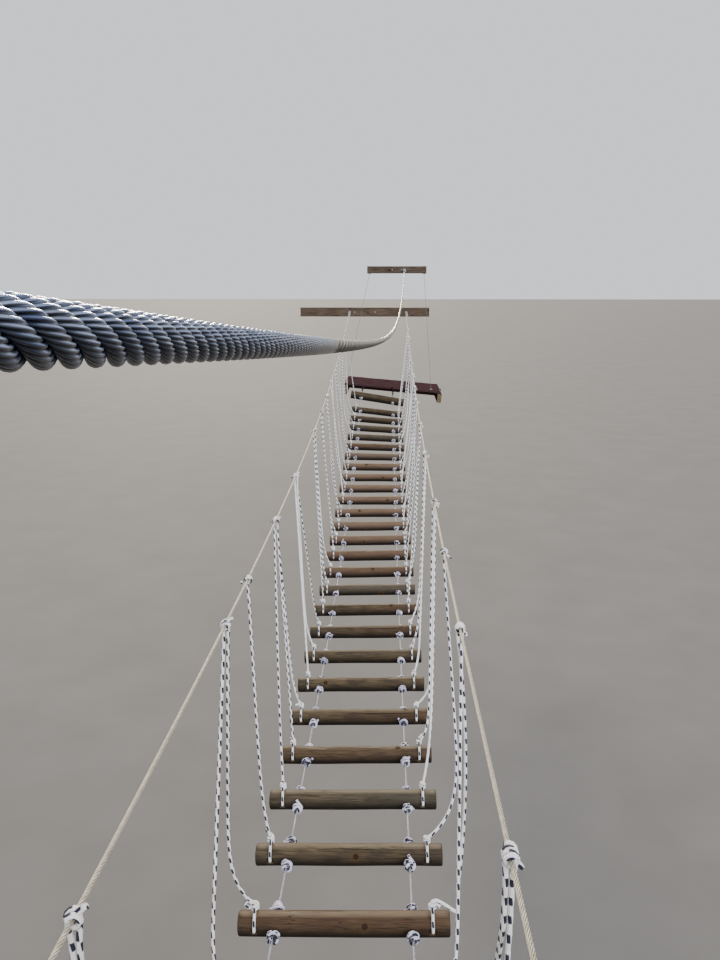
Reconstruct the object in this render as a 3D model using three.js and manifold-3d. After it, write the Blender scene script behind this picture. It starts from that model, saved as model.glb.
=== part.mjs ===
// Rope suspension footbridge between two trees, in millimetres.
// +Y runs along the bridge from the near end to the far end, +X is to the right, +Z is up.
// The origin lies on the flat back face of the near landing's frame, on the centre line of the treads.
import * as THREE from 'three';
import { mergeVertices } from 'three/addons/utils/BufferGeometryUtils.js';
import Module from 'manifold-3d';

const wasm = await Module();
wasm.setup();

// Driving dimensions
const BRIDGE_LENGTH = 15400;
const MIDDLE_Y = BRIDGE_LENGTH / 2;
const FIT_GAP = 0.3;

const TREAD_COUNT = 30;
const TREAD_PITCH = 427;
const TREAD_LENGTH = 800;
const TREAD_RADIUS = 47;
const THICK_TREAD_RADIUS = 51;
const FIRST_THICK_TREAD = 16;
const TREAD_SIDES = 12;
const FLAT = Math.cos(Math.PI / TREAD_SIDES);

const DECK_LOW_Z = -550;
const DECK_SAG = 540;
const EDGE_LOG_REACH = 6830;
const EDGE_LOG_RADIUS = 65;
const EDGE_LOG_LENGTH = 880;

// The deck twists on its way: [tread, degrees that the right end is raised]. Logs lie level at the near end.
const DECK_TWIST = [[0, 0], [5, 1.3], [13, 1.4], [17, 1.6], [20, 0.8], [23, 0.3], [26, -1.5], [29, -4.6], [31, -9]];

const DECK_CABLE_X = 260;
const DECK_CABLE_RADIUS = 5;
const DECK_CABLE_SIDES = 6;
const DECK_CABLE_HOLE_RADIUS = 5.8;
const HOLE_SIDES = 6;
const STOPPER_RADIUS = 33;
const STOPPER_LENGTH = 60;

const LOOP_X = 335;
const LOOP_THICKNESS = 12;
const LOOP_HOLE_RADIUS = 12.8;
const LOOP_CLEARANCE = 2;
const LOOP_SHOULDER_Z = 38;
const LOOP_TOP_Z = 80;
const HANGER_RADIUS = 6.5;
const LEG_SIDES = 4;

const HANDRAIL_RADIUS = 6;
const HANDRAIL_SIDES = 6;
const HITCH_RADIUS = 19;
const HITCH_LENGTH = 46;

const SAFETY_RADIUS = 6.8;
const SAFETY_SIDES = 8;
const SAFETY_RUNS = 24;
const STAY_RADIUS = 3;
const STAY_SIDES = 5;

const BOARD_THICKNESS = 45;
const FRAME_HEIGHT = 150;
const EDGE_LOG_Z = FRAME_HEIGHT / 2 - EDGE_LOG_RADIUS * FLAT;
const FRAME_DEPTH = 100;
const JOIST_WIDTH = 70;
const LANDING_WIDTH = 1620;
const LANDING_DEPTH = 910;
const HANDRAIL_BEAM_LENGTH = 2200;
const HANDRAIL_BEAM_HEIGHT = 150;
const SAFETY_BEAM_LENGTH = 1000;
const SAFETY_BEAM_HEIGHT = 120;
const BEAM_DEPTH = 100;

const EYE_RING_RADIUS = 20;
const EYE_WIRE_RADIUS = 5;
const EYE_WIRE_SIDES = 4;
const EYE_BENDS = 8;
const SHANK_RADIUS = 6;
const SHANK_SIDES = 5;
const EYE_STANDOFF = 48;
const WASHER_RADIUS = 24;
const WASHER_THICKNESS = 6;
const WASHER_SIDES = 6;
const END_LOOP_RADIUS = 18;

// Each end has its own heights and offsets: x is measured from the centre line of the treads.
const ENDS = {
  near: {
    wallY: 0,
    inward: 1,
    landingX: 0,
    landingZ: 0,
    landingTurn: 0,
    handrailX: 390,
    handrailZ: 1100,
    handrailBeamX: 50,
    safetyX: 56,
    safetyZ: 2126.8,
    safetyBeamX: 56,
    stayTopX: [-404, 516],
    stayFootX: [-720, 720],
  },
  far: {
    wallY: BRIDGE_LENGTH,
    inward: -1,
    landingX: 250,
    landingZ: 95,
    landingTurn: 5,
    handrailX: 482,
    handrailZ: 1380,
    handrailBeamX: -230,
    safetyX: 436,
    safetyZ: 2080,
    safetyBeamX: 310,
    stayTopX: [-150, 770],
    stayFootX: [-520, 880],
  },
};
const HANDRAIL_SAG = 505;
const HANDRAIL_BULGE = 14;
const HANDRAIL_SHIFT = -7;
const SAFETY_SAG = 396;

// Where each hitch sits on its handrail, counted in treads from the near landing, and the treads it holds.
const HITCHES = {
  left: [
    [1.3, [1, 2]],
    [2.8, [3, 4]],
    [6.3, [5, 6]],
    [7.5, [7]],
    [9.7, [8, 9, 10]],
    [12.2, [11, 12, 13]],
    [15.8, [14, 15, 16]],
    [17.8, [17, 18]],
    [19.6, [19, 20]],
    [21.5, [21, 22]],
    [23.5, [23, 24]],
    [25.5, [25, 26]],
    [27.5, [27, 28]],
    [29.5, [29, 30]],
  ],
  right: [
    [1.4, [1, 2]],
    [3.4, [3, 4]],
    [6.3, [5, 6]],
    [8.5, [7]],
    [10.7, [8, 9, 10]],
    [13.9, [11, 12, 13]],
    [16.5, [14, 15, 16]],
    [19.1, [17, 18, 19]],
    [20.8, [20, 21]],
    [22.5, [22, 23]],
    [24.5, [24, 25]],
    [26.5, [26, 27]],
    [28.5, [28, 29]],
    [30.0, [30]],
  ],
};

// Legs that are too long hang outside the straight line and turn in at the foot: how far out, and how late.
const SLACK = {
  left: {
    3: [30, 2], 4: [70, 6], 5: [80, 24], 6: [120, 7], 7: [30, 8], 8: [10, 4], 10: [40, 12], 12: [50, 12],
    13: [20, 24], 15: [30, 12], 16: [55, 12], 18: [60, 6], 20: [80, 8], 22: [90, 6], 23: [60, 4],
    25: [90, 8], 27: [110, 9], 28: [120, 6], 29: [100, 12],
  },
  right: {
    3: [40, 3], 4: [60, 6], 5: [55, 24], 6: [105, 12], 7: [155, 10], 8: [40, 8], 9: [50, 24], 10: [80, 24],
    11: [30, 24], 12: [50, 12], 13: [60, 12], 15: [60, 8], 18: [80, 6], 20: [90, 8], 21: [70, 4],
    23: [90, 6], 24: [80, 8], 26: [90, 6], 27: [110, 9], 28: [80, 4],
  },
};

// Materials
const finish = (color, roughness, metalness) => new THREE.MeshStandardMaterial({ color, roughness, metalness });
const roundPine = finish(0x8f7a58, 0.85, 0);
const sawnPine = finish(0x7d5a44, 0.9, 0);
const galvanised = finish(0x9aa1a8, 0.45, 0.9);
const handrailWire = finish(0xa59a80, 0.5, 0.8);
const zincSteel = finish(0xb4b8bd, 0.4, 0.9);

// Solids: closed three.js geometries go in and out of the boolean library by these two functions.
function toSolid(geometry) {
  const bare = geometry.clone();
  bare.deleteAttribute('normal');
  bare.deleteAttribute('uv');
  const merged = mergeVertices(bare, 1e-4);
  return new wasm.Manifold(new wasm.Mesh({
    numProp: 3,
    vertProperties: new Float32Array(merged.attributes.position.array),
    triVerts: new Uint32Array(merged.index.array),
  }));
}

function toGeometry(solid) {
  const mesh = solid.getMesh();
  const geometry = new THREE.BufferGeometry();
  geometry.setAttribute('position', new THREE.BufferAttribute(mesh.vertProperties, 3));
  geometry.setIndex(new THREE.BufferAttribute(mesh.triVerts, 1));
  geometry.computeVertexNormals();
  return geometry;
}

function fuse(geometries) {
  let body = toSolid(geometries[0]);
  for (const geometry of geometries.slice(1)) {
    body = body.add(toSolid(geometry));
  }
  return toGeometry(body);
}

// A curve with straight runs through the given points, one step for each run.
class StraightRuns extends THREE.Curve {
  constructor(points) {
    super();
    this.points = points;
  }

  getPoint(t, target = new THREE.Vector3()) {
    const runs = this.points.length - 1;
    const place = Math.min(Math.max(t, 0), 1) * runs;
    const first = Math.min(Math.floor(place), runs - 1);
    return target.lerpVectors(this.points[first], this.points[first + 1], place - first);
  }

  getUtoTmapping(u) {
    return u;
  }
}

function polygon(radius, sides) {
  const corners = [];
  for (let i = 0; i < sides; i += 1) {
    const angle = (i / sides) * Math.PI * 2;
    corners.push(new THREE.Vector2(Math.cos(angle) * radius, Math.sin(angle) * radius));
  }
  return new THREE.Shape(corners);
}

function tube(points, radius, sides) {
  return new THREE.ExtrudeGeometry(polygon(radius, sides), {
    steps: points.length - 1,
    extrudePath: new StraightRuns(points),
    bevelEnabled: false,
  });
}

function rod(from, to, radius, sides) {
  const length = from.distanceTo(to);
  const geometry = new THREE.CylinderGeometry(radius, radius, length, sides);
  const direction = to.clone().sub(from).normalize();
  geometry.applyQuaternion(new THREE.Quaternion().setFromUnitVectors(new THREE.Vector3(0, 1, 0), direction));
  const middle = from.clone().lerp(to, 0.5);
  return geometry.translate(middle.x, middle.y, middle.z);
}

function box(sizeX, sizeY, sizeZ, x, y, z) {
  return new THREE.BoxGeometry(sizeX, sizeY, sizeZ).translate(x, y, z);
}

// A cable with swellings: a closed tube whose sections have their own centre and radius. The path lies
// nearly upright in Y and Z, so a section is spanned by X and by the path's normal in that plane.
function swellingTube(stations, sides) {
  const bands = stations.length - 1;
  const geometry = new THREE.CylinderGeometry(1, 1, 1, sides, bands);
  const position = geometry.attributes.position;
  for (let i = 0; i < position.count; i += 1) {
    const station = Math.round((0.5 - position.getY(i)) * bands);
    const before = stations[Math.max(station - 1, 0)].centre;
    const after = stations[Math.min(station + 1, bands)].centre;
    const slope = Math.atan2(after.z - before.z, after.y - before.y);
    const { centre, radius } = stations[station];
    const across = -position.getX(i) * radius;
    const upward = position.getZ(i) * radius;
    position.setXYZ(
      i,
      centre.x + across,
      centre.y - Math.sin(slope) * upward,
      centre.z + Math.cos(slope) * upward,
    );
  }
  return geometry;
}

// Where the deck hangs
function treadY(place) {
  return MIDDLE_Y + (place - (TREAD_COUNT + 1) / 2) * TREAD_PITCH;
}

function deckZ(y) {
  return DECK_LOW_Z + DECK_SAG * ((y - MIDDLE_Y) / EDGE_LOG_REACH) ** 2;
}

// How far the deck's logs are turned about +Y at a tread: a turn above zero raises the left end.
function deckTurn(number) {
  const next = DECK_TWIST.findIndex(([place]) => place >= number);
  const [after, afterDegrees] = DECK_TWIST[Math.max(next, 1)];
  const [before, beforeDegrees] = DECK_TWIST[Math.max(next, 1) - 1];
  const share = (number - before) / (after - before);
  return -THREE.MathUtils.degToRad(THREE.MathUtils.lerp(beforeDegrees, afterDegrees, share));
}

// A seat is the place of a log: its own X runs along the log and its own Y along the deck cables.
function seatAt(y, z, slope, turn) {
  return new THREE.Matrix4().makeRotationFromEuler(new THREE.Euler(slope, turn, 0)).setPosition(0, y, z);
}

function inSeat(seat, x, y, z) {
  return new THREE.Vector3(x, y, z).applyMatrix4(seat);
}

function treadSeat(number) {
  const behind = treadY(number - 0.5);
  const ahead = treadY(number + 0.5);
  const slope = Math.atan2(deckZ(ahead) - deckZ(behind), ahead - behind);
  return seatAt(treadY(number), (deckZ(behind) + deckZ(ahead)) / 2, slope, deckTurn(number));
}

function edgeSeat(end) {
  const number = end.inward > 0 ? 0 : TREAD_COUNT + 1;
  return seatAt(MIDDLE_Y - end.inward * EDGE_LOG_REACH, EDGE_LOG_Z, 0, deckTurn(number));
}

function treadRadius(number) {
  return number < FIRST_THICK_TREAD ? TREAD_RADIUS : THICK_TREAD_RADIUS;
}

function alongSpan(y) {
  const start = FRAME_DEPTH + EYE_STANDOFF;
  return (y - start) / (BRIDGE_LENGTH - 2 * start);
}

function handrailPoint(side, y) {
  const u = alongSpan(y);
  const halfSpacing = THREE.MathUtils.lerp(ENDS.near.handrailX, ENDS.far.handrailX, u)
    + 4 * HANDRAIL_BULGE * u * (1 - u);
  const z = THREE.MathUtils.lerp(ENDS.near.handrailZ, ENDS.far.handrailZ, u) - 4 * HANDRAIL_SAG * u * (1 - u);
  return new THREE.Vector3(side * halfSpacing + HANDRAIL_SHIFT, y, z);
}

function safetyPoint(y) {
  const u = alongSpan(y);
  const x = THREE.MathUtils.lerp(ENDS.near.safetyX, ENDS.far.safetyX, u);
  const z = THREE.MathUtils.lerp(ENDS.near.safetyZ, ENDS.far.safetyZ, u) - 4 * SAFETY_SAG * u * (1 - u);
  return new THREE.Vector3(x, y, z);
}

const bridge = new THREE.Group();

function addPiece(name, geometry, material) {
  const mesh = new THREE.Mesh(geometry, material.clone());
  mesh.name = name;
  bridge.add(mesh);
  return mesh;
}

// Treads: round logs drilled through from front to back
function drilledLog(length, radius, cableHoleZ, withLoops) {
  const log = new THREE.CylinderGeometry(radius, radius, length, TREAD_SIDES);
  log.rotateZ(Math.PI / 2);
  log.rotateX(Math.PI / TREAD_SIDES);
  let body = toSolid(log);
  const drill = (x, z, holeRadius, turn) => {
    const bit = new THREE.CylinderGeometry(holeRadius, holeRadius, 4 * radius, HOLE_SIDES);
    body = body.subtract(toSolid(bit.rotateY(turn).translate(x, 0, z)));
  };
  // The rope loop carries the log, so it lies against the flat top of its hole.
  const loopHoleZ = LOOP_THICKNESS / 2 + FIT_GAP - LOOP_HOLE_RADIUS * Math.cos(Math.PI / HOLE_SIDES);
  for (const side of [-1, 1]) {
    drill(side * DECK_CABLE_X, cableHoleZ, DECK_CABLE_HOLE_RADIUS, 0);
    if (withLoops) {
      drill(side * LOOP_X, loopHoleZ, LOOP_HOLE_RADIUS, Math.PI / HOLE_SIDES);
    }
  }
  return toGeometry(body);
}

const treadGeometry = drilledLog(TREAD_LENGTH, TREAD_RADIUS, 0, true);
const thickTreadGeometry = drilledLog(TREAD_LENGTH, THICK_TREAD_RADIUS, 0, true);
for (let number = 1; number <= TREAD_COUNT; number += 1) {
  const geometry = number < FIRST_THICK_TREAD ? treadGeometry : thickTreadGeometry;
  const tread = addPiece(`tread_${String(number).padStart(2, '0')}`, geometry, roundPine);
  tread.applyMatrix4(treadSeat(number));
}

// Edge logs: the thicker logs below the front edges of the landings
const edgeCableZ = deckZ(MIDDLE_Y + EDGE_LOG_REACH) - EDGE_LOG_Z;
const edgeLogGeometry = drilledLog(EDGE_LOG_LENGTH, EDGE_LOG_RADIUS, edgeCableZ, false);
for (const [name, end] of Object.entries(ENDS)) {
  const log = addPiece(`${name}_edge_log`, edgeLogGeometry, roundPine);
  log.applyMatrix4(edgeSeat(end));
}

// The eye at the end of a cable lies flat and hooks through the ring of an eye bolt.
function eyeRingY(end) {
  return end.wallY + end.inward * (FRAME_DEPTH + EYE_STANDOFF);
}

function endEye(end, x, z, cableRadius) {
  const eye = new THREE.TorusGeometry(END_LOOP_RADIUS, cableRadius, EYE_WIRE_SIDES, EYE_BENDS);
  return eye.translate(x, eyeExitY(end, cableRadius) - end.inward * END_LOOP_RADIUS, z);
}

function eyeExitY(end, cableRadius) {
  const reach = EYE_RING_RADIUS - EYE_WIRE_RADIUS - cableRadius - 2 * FIT_GAP;
  return eyeRingY(end) + end.inward * (reach + 2 * END_LOOP_RADIUS);
}

// A landing can be turned about +Y; across and above are measured in its own plane from the frame's middle.
function onLanding(end, across, above) {
  const turn = THREE.MathUtils.degToRad(end.landingTurn);
  return {
    turn,
    x: end.landingX + across * Math.cos(turn) + above * Math.sin(turn),
    z: end.landingZ - across * Math.sin(turn) + above * Math.cos(turn),
  };
}

function frameZ(end, x) {
  return end.landingZ - (x - end.landingX) * Math.tan(THREE.MathUtils.degToRad(end.landingTurn));
}

// Deck cables: straight through every log, with a stopper knot before and behind each
function deckCable(side) {
  const x = side * DECK_CABLE_X;
  const stations = [];
  const addEnd = (end) => {
    const centre = new THREE.Vector3(x, eyeExitY(end, DECK_CABLE_RADIUS), frameZ(end, x));
    stations.push({ centre, radius: DECK_CABLE_RADIUS });
  };
  const addLog = (seat, logRadius, holeZ) => {
    const distance = logRadius * FLAT + FIT_GAP + STOPPER_LENGTH / 2;
    for (const facing of [-1, 1]) {
      for (const end of [-1, 0, 1]) {
        const along = facing * distance + (end * STOPPER_LENGTH) / 2;
        const radius = end === 0 ? STOPPER_RADIUS : DECK_CABLE_RADIUS;
        stations.push({ centre: inSeat(seat, x, along, holeZ), radius });
      }
    }
  };
  addEnd(ENDS.near);
  addLog(edgeSeat(ENDS.near), EDGE_LOG_RADIUS, edgeCableZ);
  for (let number = 1; number <= TREAD_COUNT; number += 1) {
    addLog(treadSeat(number), treadRadius(number), 0);
  }
  addLog(edgeSeat(ENDS.far), EDGE_LOG_RADIUS, edgeCableZ);
  addEnd(ENDS.far);
  return fuse([
    swellingTube(stations, DECK_CABLE_SIDES),
    endEye(ENDS.near, x, frameZ(ENDS.near, x), DECK_CABLE_RADIUS),
    endEye(ENDS.far, x, frameZ(ENDS.far, x), DECK_CABLE_RADIUS),
  ]);
}

addPiece('deck_cable_left', deckCable(-1), galvanised);
addPiece('deck_cable_right', deckCable(1), galvanised);

// A hanger's loop goes through the log at the height of its axis and closes in a knot above it.
function hangerLoop(side, seat, logRadius) {
  const sideY = logRadius + LOOP_CLEARANCE + LOOP_THICKNESS;
  const outline = (inset) => [
    new THREE.Vector2(-sideY + inset, -LOOP_THICKNESS / 2 + inset),
    new THREE.Vector2(sideY - inset, -LOOP_THICKNESS / 2 + inset),
    new THREE.Vector2(sideY - inset, LOOP_SHOULDER_Z),
    new THREE.Vector2(0, LOOP_TOP_Z - inset),
    new THREE.Vector2(-sideY + inset, LOOP_SHOULDER_Z),
  ];
  const shape = new THREE.Shape(outline(0));
  shape.holes.push(new THREE.Path(outline(LOOP_THICKNESS).reverse()));
  const loop = new THREE.ExtrudeGeometry(shape, { depth: LOOP_THICKNESS, bevelEnabled: false });
  loop.translate(0, 0, -LOOP_THICKNESS / 2);
  loop.rotateY(Math.PI / 2);
  loop.rotateX(Math.PI / 2);
  return loop.translate(side * LOOP_X, 0, 0).applyMatrix4(seat);
}

function hangerLeg(top, foot, slack) {
  if (!slack) {
    return rod(top, foot, HANGER_RADIUS, LEG_SIDES);
  }
  const [reach, late] = slack;
  const outward = new THREE.Vector3(Math.sign(foot.x), 0, 0);
  const points = [0, 0.5, 0.8, 0.92, 1].map((t) => (
    top.clone().lerp(foot, t).addScaledVector(outward, reach * t * (1 - t ** late))
  ));
  return tube(points, HANGER_RADIUS, LEG_SIDES);
}

// Handrails: a wire rope that swells at each hitch, with the hangers hung on
function handrail(sideName) {
  const side = sideName === 'left' ? -1 : 1;
  const stations = [];
  const addStation = (y, radius) => stations.push({ centre: handrailPoint(side, y), radius });
  addStation(eyeExitY(ENDS.near, HANDRAIL_RADIUS), HANDRAIL_RADIUS);
  for (const [place] of HITCHES[sideName]) {
    const y = treadY(place);
    addStation(y - HITCH_LENGTH / 2, HANDRAIL_RADIUS);
    addStation(y, HITCH_RADIUS);
    addStation(y + HITCH_LENGTH / 2, HANDRAIL_RADIUS);
  }
  addStation(eyeExitY(ENDS.far, HANDRAIL_RADIUS), HANDRAIL_RADIUS);
  const pieces = [swellingTube(stations, HANDRAIL_SIDES)];
  for (const [place, treads] of HITCHES[sideName]) {
    const hitch = handrailPoint(side, treadY(place));
    for (const number of treads) {
      const seat = treadSeat(number);
      const foot = inSeat(seat, side * LOOP_X, 0, LOOP_TOP_Z - LOOP_THICKNESS / 2);
      pieces.push(hangerLoop(side, seat, treadRadius(number)));
      pieces.push(hangerLeg(hitch, foot, SLACK[sideName][number]));
    }
  }
  for (const end of Object.values(ENDS)) {
    const x = side * end.handrailX + HANDRAIL_SHIFT;
    pieces.push(endEye(end, x, end.handrailZ, HANDRAIL_RADIUS));
  }
  return fuse(pieces);
}

addPiece('handrail_left', handrail('left'), handrailWire);
addPiece('handrail_right', handrail('right'), handrailWire);

// Safety cable overhead
const safetyStart = eyeExitY(ENDS.near, SAFETY_RADIUS);
const safetyEnd = eyeExitY(ENDS.far, SAFETY_RADIUS);
const safetyPoints = [];
for (let i = 0; i <= SAFETY_RUNS; i += 1) {
  safetyPoints.push(safetyPoint(THREE.MathUtils.lerp(safetyStart, safetyEnd, i / SAFETY_RUNS)));
}
addPiece('safety_cable', fuse([
  tube(safetyPoints, SAFETY_RADIUS, SAFETY_SIDES),
  endEye(ENDS.near, safetyPoints[0].x, ENDS.near.safetyZ, SAFETY_RADIUS),
  endEye(ENDS.far, safetyPoints[SAFETY_RUNS].x, ENDS.far.safetyZ, SAFETY_RADIUS),
]), galvanised);

// End structures
function eyeBolt(name, end, x, z) {
  const faceY = end.wallY + end.inward * FRAME_DEPTH;
  const ringY = eyeRingY(end);
  const ring = new THREE.TorusGeometry(EYE_RING_RADIUS, EYE_WIRE_RADIUS, EYE_WIRE_SIDES, EYE_BENDS);
  ring.rotateY(Math.PI / 2).translate(x, ringY, z);
  const washerY = faceY + end.inward * (FIT_GAP + WASHER_THICKNESS / 2);
  const washer = new THREE.CylinderGeometry(WASHER_RADIUS, WASHER_RADIUS, WASHER_THICKNESS, WASHER_SIDES);
  washer.translate(x, washerY, z);
  const shankStart = new THREE.Vector3(x, washerY, z);
  const shankEnd = new THREE.Vector3(x, ringY - end.inward * EYE_RING_RADIUS, z);
  const shank = rod(shankStart, shankEnd, SHANK_RADIUS, SHANK_SIDES);
  addPiece(name, fuse([washer, shank, ring]), zincSteel);
}

for (const [name, end] of Object.entries(ENDS)) {
  const { wallY, inward } = end;
  const beamY = wallY + (inward * FRAME_DEPTH) / 2;
  const landingMiddleY = wallY + (inward * LANDING_DEPTH) / 2;
  const { turn } = onLanding(end, 0, 0);
  const joistLength = LANDING_DEPTH - FRAME_DEPTH / 2;
  const joistY = beamY + (inward * joistLength) / 2;
  const joistX = (LANDING_WIDTH - JOIST_WIDTH) / 2;
  const landingFrame = fuse([
    box(LANDING_WIDTH, FRAME_DEPTH, FRAME_HEIGHT, 0, beamY, 0),
    box(JOIST_WIDTH, joistLength, FRAME_HEIGHT, -joistX, joistY, 0),
    box(JOIST_WIDTH, joistLength, FRAME_HEIGHT, joistX, joistY, 0),
  ]);
  const boardZ = FRAME_HEIGHT / 2 + FIT_GAP + BOARD_THICKNESS / 2;
  const boards = box(LANDING_WIDTH, LANDING_DEPTH, BOARD_THICKNESS, 0, landingMiddleY, boardZ);
  for (const [piece, geometry] of [['frame', landingFrame], ['boards', boards]]) {
    geometry.rotateY(turn).translate(end.landingX, 0, end.landingZ);
    addPiece(`${name}_landing_${piece}`, geometry, sawnPine);
  }
  addPiece(`${name}_handrail_beam`, box(
    HANDRAIL_BEAM_LENGTH, BEAM_DEPTH, HANDRAIL_BEAM_HEIGHT, end.handrailBeamX, beamY, end.handrailZ,
  ), sawnPine);
  addPiece(`${name}_safety_beam`, box(
    SAFETY_BEAM_LENGTH, BEAM_DEPTH, SAFETY_BEAM_HEIGHT, end.safetyBeamX, beamY, end.safetyZ,
  ), sawnPine);

  eyeBolt(`${name}_eye_bolt_deck_left`, end, -DECK_CABLE_X, frameZ(end, -DECK_CABLE_X));
  eyeBolt(`${name}_eye_bolt_deck_right`, end, DECK_CABLE_X, frameZ(end, DECK_CABLE_X));
  eyeBolt(`${name}_eye_bolt_handrail_left`, end, HANDRAIL_SHIFT - end.handrailX, end.handrailZ);
  eyeBolt(`${name}_eye_bolt_handrail_right`, end, HANDRAIL_SHIFT + end.handrailX, end.handrailZ);
  eyeBolt(`${name}_eye_bolt_safety`, end, end.safetyX, end.safetyZ);

  // Stays: thin wires from under the safety beam to the front corners of the landing
  const plateAbove = FRAME_HEIGHT / 2 + BOARD_THICKNESS + 2 * FIT_GAP + WASHER_THICKNESS / 2;
  const footY = wallY + inward * (LANDING_DEPTH - JOIST_WIDTH);
  const topZ = end.safetyZ - SAFETY_BEAM_HEIGHT / 2 - FIT_GAP;
  ['left', 'right'].forEach((sideName, i) => {
    const top = new THREE.Vector3(end.stayTopX[i], beamY, topZ - WASHER_THICKNESS / 2);
    const { x: footX, z: footZ } = onLanding(end, end.stayFootX[i] - end.landingX, plateAbove);
    const foot = new THREE.Vector3(footX, footY, footZ);
    const plate = (at, plateTurn) => {
      const disc = new THREE.CylinderGeometry(WASHER_RADIUS, WASHER_RADIUS, WASHER_THICKNESS, WASHER_SIDES);
      return disc.rotateX(Math.PI / 2).rotateY(plateTurn).translate(at.x, at.y, at.z);
    };
    const stay = fuse([rod(foot, top, STAY_RADIUS, STAY_SIDES), plate(foot, turn), plate(top, 0)]);
    addPiece(`${name}_stay_${sideName}`, stay, galvanised);
  });
}

export default bridge;
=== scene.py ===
# %% [markdown]
# # A rope suspension footbridge
# Round pine treads are threaded on two steel deck cables. Rope hangers carry their ends from two
# wire handrails, and a safety cable runs overhead from end to end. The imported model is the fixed
# frame: it says where every piece is, in metres, with +Y along the bridge and +Z up. Each cell below
# makes one kind of piece as a numpy surface and gives it a finish.

# %% Load the frame
import math

import bpy
import numpy as np
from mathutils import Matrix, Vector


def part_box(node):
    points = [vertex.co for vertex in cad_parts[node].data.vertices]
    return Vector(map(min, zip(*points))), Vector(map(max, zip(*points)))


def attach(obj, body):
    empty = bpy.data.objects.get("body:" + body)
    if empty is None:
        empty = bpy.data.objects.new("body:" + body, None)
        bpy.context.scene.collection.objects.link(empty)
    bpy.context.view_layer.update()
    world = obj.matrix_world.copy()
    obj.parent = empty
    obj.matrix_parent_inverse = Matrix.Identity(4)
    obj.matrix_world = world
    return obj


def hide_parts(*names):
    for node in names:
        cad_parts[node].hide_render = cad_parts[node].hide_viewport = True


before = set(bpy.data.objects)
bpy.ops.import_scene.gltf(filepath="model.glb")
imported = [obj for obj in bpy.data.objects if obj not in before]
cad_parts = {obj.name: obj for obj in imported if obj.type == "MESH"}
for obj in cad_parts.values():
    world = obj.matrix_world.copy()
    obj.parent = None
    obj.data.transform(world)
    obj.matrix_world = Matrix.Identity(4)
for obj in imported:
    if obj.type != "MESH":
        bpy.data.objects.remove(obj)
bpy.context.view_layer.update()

# %% [markdown]
# ## Camera
# The photograph was taken from the near end, just beside the safety cable. The place and direction
# were fitted to the treads and the cables, so the camera needs no shift. A pinhole focal length in
# pixels becomes a lens in millimetres through the picture's long side.

# %% Camera
PICTURE_HEIGHT = 960
FOCAL_PIXELS = 819.1
SENSOR = 36.0
EYE = (0.1435, 1.048, 2.032)
LOOK_LEFT = 0.0318
LOOK_DOWN = 0.2478
lens = bpy.data.cameras.new("photo_lens")
lens.sensor_width = SENSOR
lens.lens = FOCAL_PIXELS * SENSOR / PICTURE_HEIGHT
lens.clip_start = 0.01
lens.clip_end = 300.0
camera = bpy.data.objects.new("photo_camera", lens)
camera.location = EYE
camera.rotation_euler = (math.pi / 2 - LOOK_DOWN, 0.0, LOOK_LEFT)
bpy.context.scene.collection.objects.link(camera)
bpy.context.scene.camera = camera
print("lens", round(lens.lens, 2), "mm")

# %% [markdown]
# ## Where everything hangs
# The deck, the handrails and the safety cable hang between the two ends. Under an even load a cable
# takes the shape of a parabola, so one squared term gives each of them. Working from a few sizes, and
# not from placed points, keeps the treads, ropes and knots together when a size changes.

# %% Directions and ends
ACROSS = np.array([1.0, 0.0, 0.0])
ALONG = np.array([0.0, 1.0, 0.0])
UP = np.array([0.0, 0.0, 1.0])
SIDES = {"left": -1, "right": 1}
LENGTH = 15.4
FRAME_DEPTH = 0.1
EYE_STANDOFF = 0.048
ENDS = {
    "near": {
        "wall": 0.0, "inward": 1, "landing": (0.0, 0.0, 0.0),
        "rail_x": 0.390, "rail_z": 1.100, "safety_x": 0.056, "safety_z": 2.1268,
        "stay_top": (-0.404, 0.516), "stay_foot": (-0.720, 0.720),
    },
    "far": {
        "wall": LENGTH, "inward": -1, "landing": (0.25, 0.095, 5.0),
        "rail_x": 0.482, "rail_z": 1.380, "safety_x": 0.436, "safety_z": 2.080,
        "stay_top": (-0.150, 0.770), "stay_foot": (-0.520, 0.880),
    },
}


def unit(vectors):
    """Each vector divided by its own length."""
    return vectors / np.linalg.norm(vectors, axis=-1, keepdims=True)


print("from", ENDS["near"]["wall"], "to", ENDS["far"]["wall"], "m along", ALONG)

# %% [markdown]
# The treads lie at one even pitch on the deck's curve. The real ones don't hang quite level from side
# to side, so each has a twist, which is filled in between nine places.

# %% Deck
MIDDLE = LENGTH / 2
TREADS = 30
PITCH = 0.427
DECK_LOW = -0.55
DECK_SAG = 0.54
EDGE_REACH = 6.83
EDGE_RADIUS = 0.065
EDGE_LENGTH = 0.88
BOARDS_BOTTOM = 0.075
FLAT = math.cos(math.pi / 12)
EDGE_Z = BOARDS_BOTTOM - EDGE_RADIUS * FLAT
TWIST_PLACES = [0, 5, 13, 17, 20, 23, 26, 29, 31]
TWIST_DEGREES = [0.0, 1.3, 1.4, 1.6, 0.8, 0.3, -1.5, -4.6, -9.0]


def tread_y(place):
    """A place counted in treads from the near landing, as a distance along the bridge."""
    return MIDDLE + (place - (TREADS + 1) / 2) * PITCH


def deck_z(y):
    """Lowest height plus the sag times the squared share of the way from the middle to an edge log."""
    return DECK_LOW + DECK_SAG * ((y - MIDDLE) / EDGE_REACH) ** 2


def directions(number, along):
    """A log's own directions: across = cos(w) x + sin(w) n, along, and up = cos(w) n - sin(w) x, with n
    square to the deck and w the twist that raises its right end."""
    twist = math.radians(np.interp(number, TWIST_PLACES, TWIST_DEGREES))
    level = np.cross(ACROSS, along)
    across = math.cos(twist) * ACROSS + math.sin(twist) * level
    return across, along, math.cos(twist) * level - math.sin(twist) * ACROSS


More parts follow.
